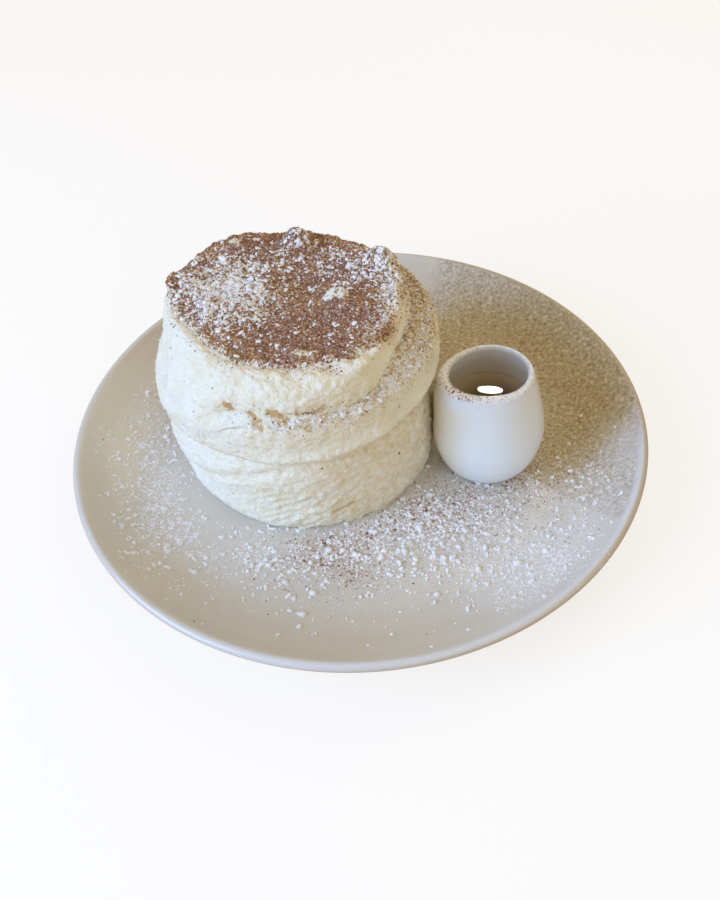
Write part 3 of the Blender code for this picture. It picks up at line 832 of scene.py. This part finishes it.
points, upward, angle, distance, arc = survey(cream, UPPER_MIDDLE)
flatness = blend(upward, 0.25, 0.8)
to_right = facing(angle, 5, 0.3, 0.9)
above_hem = points[:, 2] - cream_edge(angle)
hem = (blend(above_hem, -2.4 * MM, -0.5 * MM) * set_back(angle)
       + blend(above_hem, -1.5 * MM, 8 * MM) * (1 - set_back(angle)))
marks = spoon_marks(points[:, 0], points[:, 1])
ridges = 1 - 2 * np.abs(relief(points, 7 * MM, 2, seed=26))
top_relief = 0.7 * MM * relief(points, 8 * MM, 3, seed=20) + 0.35 * MM * relief(points, 2.6 * MM, 3, seed=21)
top_relief += 0.35 * MM * ridges
side_relief = (0.25 * MM * relief(points, 2.2 * MM, 2, seed=33) * to_right
               + 0.5 * MM * relief(points, 14 * MM, 2, seed=22)
               + 0.36 * MM * relief(points, 3 * MM, 2, (1, 1, 1.6), 23))
outline = reach_at(angle, COCOA_REACH) + 1.5 * MM * relief(points * (1, 1, 0), 7 * MM, 3, seed=27)
past = distance - outline + 0.9 * np.maximum(cream_top(points[:, 0], points[:, 1]) - points[:, 2] - 1 * MM, 0)
broken = 0.6 + 0.6 * relief(points, 6 * MM, 2, seed=28)
edge = 0.8 * MM * bump(past + 1.2 * MM, 1.6 * MM) * broken - 0.7 * MM * bump(past - 1.6 * MM, 1.8 * MM)

patches, line_of_specks = golden_patches(points, arc)
spread_relief = flatness * (top_relief + marks) + (1 - flatness) * side_relief + edge
push(cream, crumb_relief(points, 6) + hem * spread_relief - 0.3 * MM * patches)
points = points_of(cream)
over = np.maximum(points[:, 2] - CREAM_SUMMIT + SQUEEZE, 0)
points[:, 2] -= over - SQUEEZE * np.tanh(over / SQUEEZE)
move_to(cream, points)
print("cream's summit:", round(points[:, 2].max() / MM, 1), "mm")

# %% Cream's masks
inside = blend(past, 2.8 * MM, -3.2 * MM - 1.5 * MM * to_right)
bare = blend(marks + 0.5 * MM * relief(points, 2 * MM, 2, seed=32), 1.1 * MM, 2.2 * MM)
thinner = 1 - 0.42 * to_right * blend(past, -14 * MM, -2 * MM)
cocoa = inside * (1 - 0.62 * bare) * (0.84 + 0.16 * relief(points, 6 * MM, 2, seed=25)) * thinner
line_height = 77.6 * MM + 0.9 * MM * relief(points, 6 * MM, 2, seed=31)
hem_line = bump(points[:, 2] - line_height, 1.0 * MM) * beside(angle, -84, 13)
right_wall = to_right * blend(np.degrees(angle), -20, 5)
fold = blobs(points, WALL_FOLD) * blend(points[:, 2], 82 * MM, 86 * MM)
loose = (1 - inside) * (0.27 * blend(past, 9 * MM, 0) * (1 - right_wall) + 0.44 * right_wall + 0.4 * fold)
line_of_specks += hem_line + 0.05 * bump(points[:, 2] - line_height, 2 * MM) * bump(arc + 36 * MM, 26 * MM)
paint(cream, "cocoa", cocoa + 0.5 * line_of_specks + loose)
paint(cream, "crust_and_shade", 0.9 * patches + (0.28 * right_wall + 0.9 * fold) * (1 - inside))
heaped = blobs(points, SUGAR_HEAPS)
paint(cream, "sugar", heaped * inside * 0.57 + 0.3 * right_wall * (1 - inside))
stand_for(cream, "cream_topping", "cream")

# %% [markdown]
# ## Stoneware plate
# The plate was thrown, dipped in a pale warm glaze, and left bare on one side, where the speckled clay
# shows. The glaze is a smooth dielectric with faint throwing rings, and the bare side is rough, with dark
# and light grit, a milky grey in places and a painted sheen of window light on the right. On the other side
# a painted warm reflection of the room makes the glaze yellower, and a painted highlight lies on the rim and
# the outside. The lip is bare clay where glaze pulled away.

# %% Plate's finish
stoneware, tree, shader = new_material("glazed_stoneware_dipped", IOR=1.52)
place = add(tree, "TexCoord", out="Object")
bare, milky_and_sheen, outer, warm_reflection, lip = (add(tree, "Attribute", out="Fac", attribute_name=mask)
                                 for mask in ("bare", "milky_and_sheen", "outer", "warm_reflection", "lip"))
clouds = add(tree, "TexNoise", {"Vector": place, "Scale": 1 / (40 * MM), "Detail": 3.0})
glaze = add(tree, "ValToRGB", {"Fac": clouds}, ((0.3, "d4cfc5"), (0.7, "dad6cd")))
grit = add(tree, "TexNoise", {"Vector": place, "Scale": 1 / (1.7 * MM), "Detail": 4.0, "Roughness": 0.62})
clay = add(tree, "ValToRGB", {"Fac": grit},
           ((0.29, "8f7c5e"), (0.46, "b9ab8b"), (0.57, "c8bb9d"), (0.72, "efe6d2")))
milky = add(tree, "ValToRGB", {"Fac": grit}, ((0.31, "ab9e8c"), (0.5, "c9c2b7"), (0.69, "e6e3de")))
# Milky grey over the clay where the mask says, partly a painted sheen of window light
milky_clay_and_sheen = add(tree, "Mix", {"Factor": milky_and_sheen, "A": clay, "B": milky}, **COLOURS)
uneven = add(tree, "Math", {0: grit, 1: 0.5}, operation="SUBTRACT")
edge = add(tree, "Math", {0: bare, 1: uneven}, operation="ADD")
bare_edge = add(tree, "MapRange", {"Value": edge, "From Min": 0.35, "From Max": 0.65})
body = add(tree, "Mix", {"Factor": bare_edge, "A": glaze, "B": milky_clay_and_sheen}, **COLOURS)
# Over the body: a pale painted highlight and sheen, a painted warm reflection, and the bare lip's colour
for mask, code in ((outer, "dfe2e6"), (warm_reflection, "dccfae"), (lip, "cabdad")):
    body = add(tree, "Mix", {"Factor": mask, "A": body, "B": linear(code)}, **COLOURS)
tree.links.new(dusted(tree, place, body), shader.inputs["Base Color"])
rough = add(tree, "MapRange", {"Value": bare_edge, "To Min": 0.2, "To Max": 0.55})
tree.links.new(rough, shader.inputs["Roughness"])
gritty = add(tree, "Math", {0: grit, 1: bare_edge}, operation="MULTIPLY")
bumpy = add(tree, "Bump", {"Height": gritty, "Strength": 0.3, "Distance": 0.22 * MM})
tree.links.new(bumpy, shader.inputs["Normal"])
print("finish:", stoneware.name)

# %% [markdown]
# A plate thrown on a wheel is the same all round, so one outline turned about the middle makes it: the flat
# floor, a wall that steepens up to the rounded lip, the underside and the foot ring. A Screw modifier could
# turn it too, but rings of points are ready for masks, and the potter's faint rings are pushed into the wall.

# %% Plate's shape
PLATE_ANGLES = full_turn(400)
PLATE_FLOOR = 6.5 * MM
PLATE_FLAT = 92 * MM
PLATE_LIP_START = (126.6 * MM, 23.4 * MM)
PLATE_LIP_MIDDLE = np.array((128, 22)) * MM
PLATE_LIP_ROUND = 2 * MM
# The foot ring's outline in millimetres, as distance from the middle and height
PLATE_FOOT = ((72, 2.0), (70.4, 1.9), (69.8, 1.0), (69.4, 0.25), (68.9, 0.0), (66.1, 0.0), (65.6, 0.25),
              (65.2, 1.0), (64.6, 1.9), (63, 2.0), (45, 2.0), (22, 2.0))
PLATE_UNDER_EDGE = np.array((88, 2)) * MM  # where the flat underside turns up


def plate_height(radius):
    """Height of the plate's upper face: flat, then a parabola up to the lip."""
    share = np.clip((radius - PLATE_FLAT) / (PLATE_LIP_START[0] - PLATE_FLAT), 0, 1)
    return PLATE_FLOOR + (PLATE_LIP_START[1] - PLATE_FLOOR) * share ** 2


upper = [(r, float(plate_height(r))) for r in np.linspace(4, 92, 23) * MM]
upper += [(r, float(plate_height(r))) for r in np.linspace(93.5, 126, 27) * MM]
lip = [PLATE_LIP_MIDDLE + PLATE_LIP_ROUND * np.array((math.cos(turn), math.sin(turn)))
       for turn in np.radians(np.linspace(135, -45, 13))]
under = [PLATE_UNDER_EDGE + (lip[-1] - PLATE_UNDER_EDGE) * (share, share ** 2)
         for share in np.linspace(0.96, 0.0, 18)]
profile = upper + lip + under + [(r * MM, z * MM) for r, z in PLATE_FOOT]
rings = [ring((0, 0), r, z, PLATE_ANGLES) for r, z in profile]
plate = ring_body("stoneware_plate", rings, (0, 0, PLATE_FLOOR), (0, 0, PLATE_UNDER_EDGE[1]), stoneware)

_, upward, angle, radius, _ = survey(plate, (0, 0))
throwing_rings = 0.09 * MM * np.sin(radius / (1.9 * MM) + 0.8 * np.sin(angle))
throwing_rings *= blend(radius, 86 * MM, 98 * MM)
throwing_rings *= blend(upward, 0.2, 0.6) * blend(radius, 127 * MM, 122 * MM)
push(plate, throwing_rings)
print("plate:", len(rings), "rings,", round(2 * (PLATE_LIP_MIDDLE[0] + PLATE_LIP_ROUND) / MM), "mm across")

# %% [markdown]
# The bare side is everything past a slightly wavy line across the plate, but at the back the glaze runs
# round the rim again. The powder's masks are soft ellipses: the sieve left a heavy band in front of the
# stack and the jug and a thin arc on the other side, and the stack shielded the plate beside its foot.

# %% Areas on the plate
SUGAR_ON_PLATE = ((8, -55, 28, 10, 14, 0.36), (38, -45, 24, 13, 0, 0.26), (28, -72, 34, 14, 0, 0.18),
                  (60, -78, 20, 17, 0, 0.12), (80, -98, 20, 8, 40, 0.13), (88, -40, 15, 10, 0, 0.15),
                  (-92, -20, 9, 22, -8, 0.42), (-80, -46, 11, 10, 0, 0.38), (-105, 6, 8, 16, 0, 0.24),
                  (-56, -61, 20, 9, 8, 0.28), (-90, 30, 6, 10, 0, 0.18), (-30, -72, 24, 11, 0, 0.14),
                  (10, -70, 70, 25, 0, 0.05), (-98, -20, 14, 40, 0, 0.06), (104, -34, 10, 24, 0, 0.05))
COCOA_ON_PLATE = ((12, -53, 28, 10, 10, 0.30), (38, -38, 20, 10, 0, 0.26), (-22, -65, 15, 8, 0, 0.34),
                  (-6, -77, 11, 6, 0, 0.25), (72, -30, 15, 9, 0, 0.24), (42, -58, 20, 9, 0, 0.16),
                  (-91, 32, 5, 12, 0, 0.34), (-90, 8, 5, 8, 0, 0.12), (90, -14, 12, 14, 0, 0.22),
                  (42, 48, 6, 20, 20, 0.26), (80, -50, 12, 12, 0, 0.10))
FINEST_SUGAR = ((72, -88, 26, 22, 35, 1),)
SHIELDED = (-60, -26, 19, 22)  # middle and half sizes in millimetres
# Areas on the plate as ellipses, directions and places: painted sheen, a painted warm reflection, bare clay
WINDOW_SHEEN = ((76, -80, 26, 24, 0, 0.5), (120, -26, 5, 13, 12, 0.4))
WARM_ROOM_REFLECTION = ((-88, -72, 11, 20, 40, 0.45), (-109, 0, 6, 18, 0, 0.4))
BARE_DIRECTION = (0.789, 0.614)
BARE_FROM = 43 * MM
GLAZED_BACK = (30 * MM, 125 * MM)
SHEEN_DIRECTION = (0.584, -0.812)
SHEEN_CORNER = (92.6 * MM, -30 * MM)
print(len(SUGAR_ON_PLATE), "areas of sugar and", len(COCOA_ON_PLATE), "of cocoa")

# %% Plate's masks
points = points_of(plate)
x, y = points[:, 0], points[:, 1]
wobble = 3 * MM * relief(points * (1, 1, 0), 22 * MM, 3, seed=30)
# Bare clay past the line to which the plate was dipped, and under its foot
past_line = (x * BARE_DIRECTION[0] + y * BARE_DIRECTION[1] - BARE_FROM
             + 4 * MM * blend(-y, 40 * MM, 60 * MM) + wobble)
from_back = np.hypot(x - GLAZED_BACK[0], y - GLAZED_BACK[1]) + 2 * wobble
paint(plate, "bare", blend(past_line, -1.5 * MM, 2.5 * MM) * blend(from_back, 8 * MM, 36 * MM)
      * blend(upward, -0.3, 0.1)
      + blend(upward, -0.2, -0.6) * blend(radius, 76 * MM, 72 * MM))
# Milky grey over the clay: a painted sheen of window light on the right, and paler near the glazed back and
# on the rim
past_fork = ((x - SHEEN_CORNER[0]) * SHEEN_DIRECTION[0] + (y - SHEEN_CORNER[1]) * SHEEN_DIRECTION[1]
             - 2 * MM + wobble)
right_sheen = blend(past_fork, -3 * MM, 4 * MM) * (0.75 + 0.25 * blend(radius, 104 * MM, 116 * MM))
paler_at_back = blend(from_back, 54 * MM, 24 * MM)
paler_on_rim = 0.55 * blend(angle, math.radians(30), math.radians(52)) * blend(radius, 106 * MM, 120 * MM)
paint(plate, "milky_and_sheen", np.maximum(np.maximum(right_sheen, paler_at_back), paler_on_rim))
# The lip's bare edge
lip_edge = bump(points[:, 2] - 22.3 * MM, 1.7 * MM) * blend(radius, 128.4 * MM, 129.5 * MM)
right_half = facing(angle, 5, -0.35, 0.35)
far_lip = (blend(radius, 127.3 * MM, 128.5 * MM) * blend(upward, -0.4, 0)
           * facing(angle, 8, 0.25, 0.7))
paint(plate, "lip", np.maximum(lip_edge * (0.1 + 0.7 * right_half), 0.85 * far_lip))
# Painted highlight outside and on the rim, a painted sheen of window light like it, and a painted
# warm reflection of the room that makes the glaze yellower
on_rim = np.maximum(blend(upward, 0.3, -0.2) * blend(radius, 100 * MM, 112 * MM),
                    blend(radius, 124.5 * MM, 127 * MM))
sheen = blobs(points, WINDOW_SHEEN)
stony = facing(angle, 35, 0.45, 0.85)
rim_highlight = on_rim * (0.4 + 0.5 * facing(angle, -20, -0.6, 0.1)) * (1 - 0.95 * stony)
paint(plate, "outer", rim_highlight + sheen)
paint(plate, "warm_reflection", blobs(points, WARM_ROOM_REFLECTION))
# No powder beside the stack's foot, nor up on the lip
across, along = (x / MM - SHIELDED[0]) / SHIELDED[2], (y / MM - SHIELDED[1]) / SHIELDED[3]
clear = 1 - 0.97 * np.exp(-(across ** 2 + along ** 2) ** 2)
clear *= blend(upward, 0.3, 0.6) * blend(radius, 126 * MM, 116 * MM)
sugar_density = blobs(points, SUGAR_ON_PLATE) * clear
cocoa_density = blobs(points, COCOA_ON_PLATE) * clear
paint(plate, "sugar", 0.75 * sugar_density + 0.30 * blobs(points, FINEST_SUGAR))
paint(plate, "cocoa", 1.05 * cocoa_density)
stand_for(plate, "plate", "stoneware")

# %% [markdown]
# ## Porcelain jug and its syrup
# A slip-cast porcelain jug has a soft round lip and a spout pinched out by a finger. White porcelain under a
# clear glaze is a plain white dielectric, so its whole look comes from a clean shape and soft reflections.
# The inner wall is painted darker and browner than the outside, most of all deep down the bore, and under the
# spout a painted warm reflection of the pancakes tints the white. The syrup itself is thin and amber against
# the wall and deeper in the middle, which a painted mask imitates.

# %% Porcelain and syrup
porcelain, tree, shader = new_material("porcelain_clear_glazed", IOR=1.5)
place = add(tree, "TexCoord", out="Object")
darker_inside, pancake_reflection = (add(tree, "Attribute", out="Fac", attribute_name=mask) for mask in ("inside", "pancake_reflection"))
clouds = add(tree, "TexNoise", {"Vector": place, "Scale": 1 / (25 * MM), "Detail": 2.0})
body = add(tree, "ValToRGB", {"Fac": clouds}, ((0.3, "e6edf4"), (0.7, "ecf2f8")))
# A painted warm reflection of the pancakes, then the inner wall painted darker and browner
for mask, code in ((pancake_reflection, "edeadb"), (darker_inside, "c8bca6")):
    body = add(tree, "Mix", {"Factor": mask, "A": body, "B": linear(code)}, **COLOURS)
tree.links.new(dusted(tree, place, body), shader.inputs["Base Color"])
gloss = add(tree, "MapRange", {"Value": clouds, "To Min": 0.08, "To Max": 0.15})
sticky = add(tree, "Math", {0: darker_inside, 1: 0.5, 2: gloss}, operation="MULTIPLY_ADD")
tree.links.new(sticky, shader.inputs["Roughness"])

amber, tree, shader = new_material("syrup_amber_wet", Roughness=0.03, IOR=1.47)
thin = add(tree, "Attribute", out="Fac", attribute_name="thin")
brew = add(tree, "ValToRGB", {"Fac": thin}, ((0.0, "61523e"), (0.5, "a28d6c"), (1.0, "c4b08e")))
tree.links.new(brew, shader.inputs["Base Color"])
print("finishes:", porcelain.name, "and", amber.name)

# %% [markdown]
# The jug is turned like the plate. Its spout is only a soft pull on the upper rings, a little less in the
# bore than outside. A real spout is pressed out of the round wall in the same way.

# %% Jug's shape
JUG_ANGLES = full_turn(180)
JUG_MIDDLE = np.array((57.7, -16.2)) * MM
JUG_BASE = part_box("jug")[0].z
JUG_TALL = 53 * MM
JUG_BELLY_UP = 22.5 * MM
JUG_FOOT_RADIUS = 13 * MM
JUG_BELLY_RADIUS = 24.6 * MM
JUG_NECK_RADIUS = 17.5 * MM
JUG_WALL = 3.6 * MM
BORE_FLOOR = 4.5 * MM
BORE_CORNER = 4.5 * MM  # height of the bore's rounded corner
SPOUT_ANGLE = math.radians(-168)
SPOUT_SPREAD = 0.82
OUTER_PULL = 5.6 * MM
BORE_PULL = 4.7 * MM
BORE_SHIFT = np.array((0.9, 1.3)) * MM  # the bore isn't quite in the middle of the lip
SYRUP_UP = 34.8 * MM
SYRUP_BASE = 5 * MM
SYRUP_DEEPEST = np.array((1, -2)) * MM  # from the jug's middle


def jug_radius(up):
    if up < JUG_BELLY_UP:
        swell = math.sqrt(1 - (1 - up / JUG_BELLY_UP) ** 2)
        return JUG_FOOT_RADIUS + (JUG_BELLY_RADIUS - JUG_FOOT_RADIUS) * swell
    share = (up - JUG_BELLY_UP) / (JUG_TALL - JUG_BELLY_UP)
    return JUG_BELLY_RADIUS - (JUG_BELLY_RADIUS - JUG_NECK_RADIUS) * share ** 1.4


def bore_radius(up):
    corner = 1 - min((up - BORE_FLOOR) / BORE_CORNER, 1.0)
    return (jug_radius(up) - JUG_WALL) * math.sqrt(1 - 0.35 * corner ** 2)


def jug_ring(radius, up, pull=OUTER_PULL, shift=0.0):
    """A round ring that the pinch of the spout draws out above the belly."""
    rise = blend(up, JUG_BELLY_UP, JUG_TALL)
    pinch = bump(turn_between(JUG_ANGLES, SPOUT_ANGLE), SPOUT_SPREAD)
    reach = radius + pull * rise * min(1, radius / (8 * MM)) * pinch
    return ring(JUG_MIDDLE + BORE_SHIFT * rise * shift, reach, JUG_BASE + up, JUG_ANGLES)


def bore_ring(radius, up):
    """A ring of the bore, with its own middle and pinch."""
    return jug_ring(radius, up, BORE_PULL, 1.0)


print("jug:", round(2 * JUG_BELLY_RADIUS / MM, 1), "mm wide and", round(JUG_TALL / MM, 1), "mm tall")

# %% Jug
half_wall = JUG_WALL / 2
neck = JUG_TALL - half_wall
bore = [bore_ring(bore_radius(up), up) for up in np.linspace(BORE_FLOOR, neck, 42)]
round_lip = []
for turn in np.radians(np.linspace(168, 12, 13)):
    outward = (1 + math.cos(turn)) / 2
    lip_radius = jug_radius(neck) - half_wall + half_wall * math.cos(turn)
    round_lip.append(jug_ring(lip_radius, neck + half_wall * math.sin(turn),
                              BORE_PULL + (OUTER_PULL - BORE_PULL) * outward, 1 - outward))
outside = [jug_ring(jug_radius(up), up)
           for up in (*np.linspace(neck, 2 * MM, 46), *np.linspace(1.6 * MM, 0, 10))]
rings = [jug_ring(6 * MM, BORE_FLOOR), *bore, *round_lip, *outside, jug_ring(8 * MM, 0)]
jug = ring_body("porcelain_jug", rings, (*JUG_MIDDLE, JUG_BASE + BORE_FLOOR), (*JUG_MIDDLE, JUG_BASE),
                porcelain)
points, upward, angle, distance, _ = survey(jug, JUG_MIDDLE)
up = points[:, 2] - JUG_BASE
outer = distance > 15 * MM
on_lip = blend(up, 46 * MM, 52 * MM) * blend(upward, 0.3, 0.8) * outer
by_spout = beside(angle, -153, 29)
paint(jug, "cocoa", on_lip * (0.24 + 0.30 * by_spout))
paint(jug, "sugar", 0.55 * on_lip)
# Painted warm reflection of the pancakes, on the side that faces them under the spout
paint(jug, "pancake_reflection", facing(angle, 180, 0.35, 0.9) * blend(up, 50 * MM, 42 * MM) * outer)
bore_side = np.hypot(*(points[:, :2] - JUG_MIDDLE - BORE_SHIFT).T)
outwards = (normals_of(jug)[:, :2] * (points[:, :2] - JUG_MIDDLE)).sum(axis=1)
facing_in = -outwards / np.maximum(bore_side, 1 * MM)
in_bore = blend(facing_in, 0.5, 0.95) * blend(up, 5 * MM, 8 * MM)
# The inner wall is painted darker and browner, less so near the lip
paint(jug, "inside", in_bore * (1 - 0.35 * blend(up, 40 * MM, 51 * MM)))
stand_for(jug, "jug", "porcelain")

# %% [markdown]
# The syrup fills the bore up to its level. Its surface turns up a little at the wall, as a wet liquid does,
# and that thin edge catches the light.

# %% Syrup
surface = bore_radius(SYRUP_UP)
rings = [bore_ring(surface * share, SYRUP_UP) for share in (0.3, 0.5, 0.65, 0.78, 0.88, 0.94)]
rings += [bore_ring(surface - inset * MM, SYRUP_UP + rise * MM) for inset, rise in ((0.5, 0.1), (0.05, 0.4))]
rings += [bore_ring(bore_radius(up) - 0.1 * MM, up) for up in np.linspace(SYRUP_UP, SYRUP_BASE, 12)]
syrup = ring_body("amber_syrup", rings, (*JUG_MIDDLE, JUG_BASE + SYRUP_UP),
                  (*JUG_MIDDLE, JUG_BASE + SYRUP_BASE), amber)
from_deepest = np.hypot(*(points_of(syrup)[:, :2] - JUG_MIDDLE - SYRUP_DEEPEST).T)
paint(syrup, "thin", blend(from_deepest, 8 * MM, surface + 3 * MM))
stand_for(syrup, "syrup", "syrup")

# %% [markdown]
# ## Loose cocoa, sugar and crumbs
# Over the painted powder lie clumps big enough to catch light and cast shadows. Each one here is real mesh,
# a lumpy little ball pressed into the surface, and all of one kind on one surface are joined into one piece.
# Their places are drawn at random over the triangles of the surface, more often where a density says so.

# %% Random places
SEED = 7
random_numbers = np.random.default_rng(SEED)


def surface_spots(piece, density, count):
    """Random places on a mesh, with their normals, drawn by area times a density at each point."""
    mesh = piece.data
    mesh.calc_loop_triangles()
    corners = np.empty(len(mesh.loop_triangles) * 3, np.int32)
    mesh.loop_triangles.foreach_get("vertices", corners)
    corners = corners.reshape(-1, 3)
    points, normals = points_of(piece), normals_of(piece)
    a, b, c = (points[corners[:, i]] for i in range(3))
    area = np.linalg.norm(np.cross(b - a, c - a), axis=1) / 2
    chance = np.cumsum(area * density[corners].mean(axis=1))
    picked = np.searchsorted(chance, random_numbers.random(count) * chance[-1])
    u, v = random_numbers.random(count), random_numbers.random(count)
    flip = u + v > 1
    u, v = np.where(flip, 1 - u, u)[:, None], np.where(flip, 1 - v, v)[:, None]
    spots = a[picked] * (1 - u - v) + b[picked] * u + c[picked] * v
    out = sum(normals[corners[picked, i]] for i in range(3))
    return spots, out / np.linalg.norm(out, axis=1)[:, None]


print("random numbers start from seed", SEED)

# %% Shapes of a lump and a chip
# Both are closed, with a radius of 1, and are kept as points and faces
ball = bmesh.new()
bmesh.ops.create_icosphere(ball, subdivisions=1, radius=1)
LUMP = (np.array([v.co for v in ball.verts]), np.array([[v.index for v in f.verts] for f in ball.faces]))
ball.free()
CHIP_POINTS = np.array([(1, 0, 0), (-1, 0, 0), (0, 1, 0), (0, -1, 0), (0, 0, 1), (0, 0, -1)], float)
CHIP_FACES = np.array([(4, 0, 2), (4, 2, 1), (4, 1, 3), (4, 3, 0),
                       (5, 2, 0), (5, 1, 2), (5, 3, 1), (5, 0, 3)])
CHIP = (CHIP_POINTS, CHIP_FACES)
print("a lump has", len(LUMP[1]), "faces and a chip", len(CHIP_FACES))

# %% [markdown]
# A separate object for every grain would be slow to make and to draw. One function makes a whole piece from
# arrays: it draws places, sizes and turns, copies the small shape to every place with its lower part sunk
# in, and joins the copies into one mesh. A bigger clump is two or three balls close together.

# %% Scattering
HIGHEST_GRAIN = 99.1 * MM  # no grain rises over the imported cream's highest peak


def scatter(name, piece, density, count, radius, material, members=1, shape=LUMP, flat=0.7, spread=0.35):
    """Joins clumps of lumpy balls on a piece. Flat squeezes them towards the surface."""
    spots, normals = surface_spots(piece, np.maximum(density, 0), count)
    sizes = radius * np.exp(np.clip(spread * random_numbers.standard_normal(count), -1.2, 1.1))
    if members > 1:
        spots, normals, sizes = (np.repeat(v, members, axis=0) for v in (spots, normals, sizes))
        shift = random_numbers.normal(0, 0.55, (len(spots), 3)) * sizes[:, None]
        spots = spots + shift - normals * (shift * normals).sum(axis=1)[:, None]
        sizes = sizes * random_numbers.uniform(0.45, 1.0, len(spots))
    count = len(spots)
    corners, faces = shape
    lumpy = corners[None] * random_numbers.uniform(0.65, 1.25, (count, len(corners), 1))
    stretch = random_numbers.uniform(0.7, 1.45, (count, 1, 3)) * np.array((1, 1, flat))
    helper = np.where(np.abs(normals[:, 2:3]) < 0.9, (0.0, 0.0, 1.0), (1.0, 0.0, 0.0))
    tangent = np.cross(helper, normals)
    tangent /= np.linalg.norm(tangent, axis=1)[:, None]
    other = np.cross(normals, tangent)
    turn = random_numbers.uniform(0, math.tau, count)[:, None]
    first = tangent * np.cos(turn) + other * np.sin(turn)
    axes = np.stack([first, np.cross(normals, first), normals], axis=1)
    local = lumpy * stretch * sizes[:, None, None]
    centres = spots + normals * (sizes * flat * 0.3)[:, None]
    points = np.einsum("nij,njk->nik", local, axes) + centres[:, None]
    points[:, :, 2] = np.minimum(points[:, :, 2], HIGHEST_GRAIN)
    joined = (faces[None] + (np.arange(count) * len(corners))[:, None, None]).reshape(-1, 3)
    made = new_piece(name, points.reshape(-1, 3).tolist(), joined.tolist(), material)
    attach(made, "root")
    print(name, count, "grains,", len(joined), "faces")
    return made


print("no grain rises over", round(HIGHEST_GRAIN / MM, 1), "mm")

# %% [markdown]
# Loose powder is matt, and its grains differ a little in tone, so each finish is rough, with a fine noise
# over a few close colours. Torn crust is toasted in places and pale in others, and packed cocoa is darker
# than sifted cocoa.

# %% Powders' finishes
def powder_finish(name, roughness, size, detail, stops):
    """A matt finish whose tone varies over a few grains."""
    material, tree, shader = new_material(name, Roughness=roughness)
    place = add(tree, "TexCoord", out="Object")
    tone = add(tree, "TexNoise", {"Vector": place, "Scale": 1 / size, "Detail": detail})
    tree.links.new(add(tree, "ValToRGB", {"Fac": tone}, stops), shader.inputs["Base Color"])
    return material


sugar = powder_finish("icing_sugar_sifted", 0.8, 3 * MM, 1.0, ((0.3, "f2f3f5"), (0.6, "fbfbfd")))
toasted = powder_finish("pancake_crust_torn", 0.8, 2.5 * MM, 2.0,
                        ((0.36, "caa878"), (0.5, "e0cda6"), (0.62, "f2ead6")))
cocoa_powder = powder_finish("cocoa_sifted", 0.85, 1.1 * MM, 2.0,
                             ((0.35, "77533f"), (0.5, "9b7158"), (0.65, "c8a488")))
packed_cocoa = powder_finish("cocoa_packed_lump", 0.8, 0.8 * MM, 1.0, ((0.35, "4d3c30"), (0.6, "7b6453")))
print("finishes:", ", ".join(finish.name for finish in (sugar, toasted, cocoa_powder, packed_cocoa)))

# %% [markdown]
# On the cream the cocoa fills its outline, and the sugar lies in heaps. On the plate both lie thickest where
# their masks are, and on the browned strip torn crumbs lie among them.

# %% Powder on the cream
points = points_of(cream)
upward = blend(normals_of(cream)[:, 2], 0.1, 0.5)
heaps = blobs(points, SUGAR_HEAPS) * inside * upward
sifted = (cocoa + 0.6 * loose) * upward + 0.3 * loose + 0.9 * line_of_specks + 0.003 * hem
scatter("cocoa_on_cream", cream, sifted, 8000, 0.24 * MM, cocoa_powder, shape=CHIP, flat=0.9)
scatter("sugar_clumps_on_cream", cream, heaps + 0.009 * inside, 1900, 0.52 * MM, sugar, members=3, flat=0.5,
        spread=0.4)
dust = heaps + 0.06 * inside + 0.1 * right_wall * (1 - inside)
scatter("sugar_dust_on_cream", cream, dust, 3000, 0.27 * MM, sugar, shape=CHIP)

# %% Powder on the plate
scatter("sugar_clumps_on_plate", plate, sugar_density, 2700, 0.58 * MM, sugar, members=2, flat=0.6,
        spread=0.45)
scatter("sugar_dust_on_plate", plate, sugar_density, 4000, 0.2 * MM, sugar, shape=CHIP)
scatter("cocoa_on_plate", plate, cocoa_density, 4000, 0.19 * MM, cocoa_powder, shape=CHIP)
scatter("cocoa_lumps_on_plate", plate, cocoa_density + 0.04 * clear, 130, 0.28 * MM, packed_cocoa,
        spread=0.25)

# %% Powder and crumbs on the strip of the upper pancake
points, upward, angle, distance, _ = survey(upper_pancake, UPPER_MIDDLE)
past_cream = blend(distance - cream_radius(angle), -1.5 * MM, 0.5 * MM)
strip = past_cream * bump(points[:, 2] - shelf(angle), 5 * MM) * blend(upward, -0.05, 0.5)
strip *= facing(angle, -15, -0.15, 0.35)
to_front = blend(-np.degrees(angle), 20, 40)
scatter("crumbs_on_strip", upper_pancake, strip, 1000, 0.42 * MM, toasted, members=2, spread=0.4)
scatter("sugar_on_strip", upper_pancake, strip * (1 + 2 * to_front), 850, 0.4 * MM, sugar, members=2)
scatter("cocoa_on_strip", upper_pancake, strip * (1 - 0.7 * to_front), 2000, 0.22 * MM, cocoa_powder,
        shape=CHIP)

# %% [markdown]
# Three dark flecks sit in the lower pancake's side, and a little powder lies on the jug's lip. The flecks
# are placed by direction and height, on whichever point of the side is nearest.

# %% Flecks and the jug's lip
FLECKS = ((-48, 37, 0.75), (-82, 45, 0.5), (-29, 44, 0.4))
points, _, _, distance, arc = survey(lower_pancake, LOWER_MIDDLE)
for turn, up, size in FLECKS:
    fleck_density = np.zeros(len(points))
    gap = np.hypot(arc - arc_to(turn), points[:, 2] - up * MM)
    fleck_density[np.argmin(np.where(distance > 40 * MM, gap, 1))] = 1
    scatter(f"dark_fleck_{-turn}", lower_pancake, fleck_density, 1, size * MM, packed_cocoa, flat=0.4,
            spread=0.0)
scatter("cocoa_on_jug", jug, on_lip * (0.25 + by_spout), 450, 0.14 * MM, cocoa_powder, shape=CHIP)
scatter("sugar_on_jug", jug, on_lip, 300, 0.15 * MM, sugar, shape=CHIP)
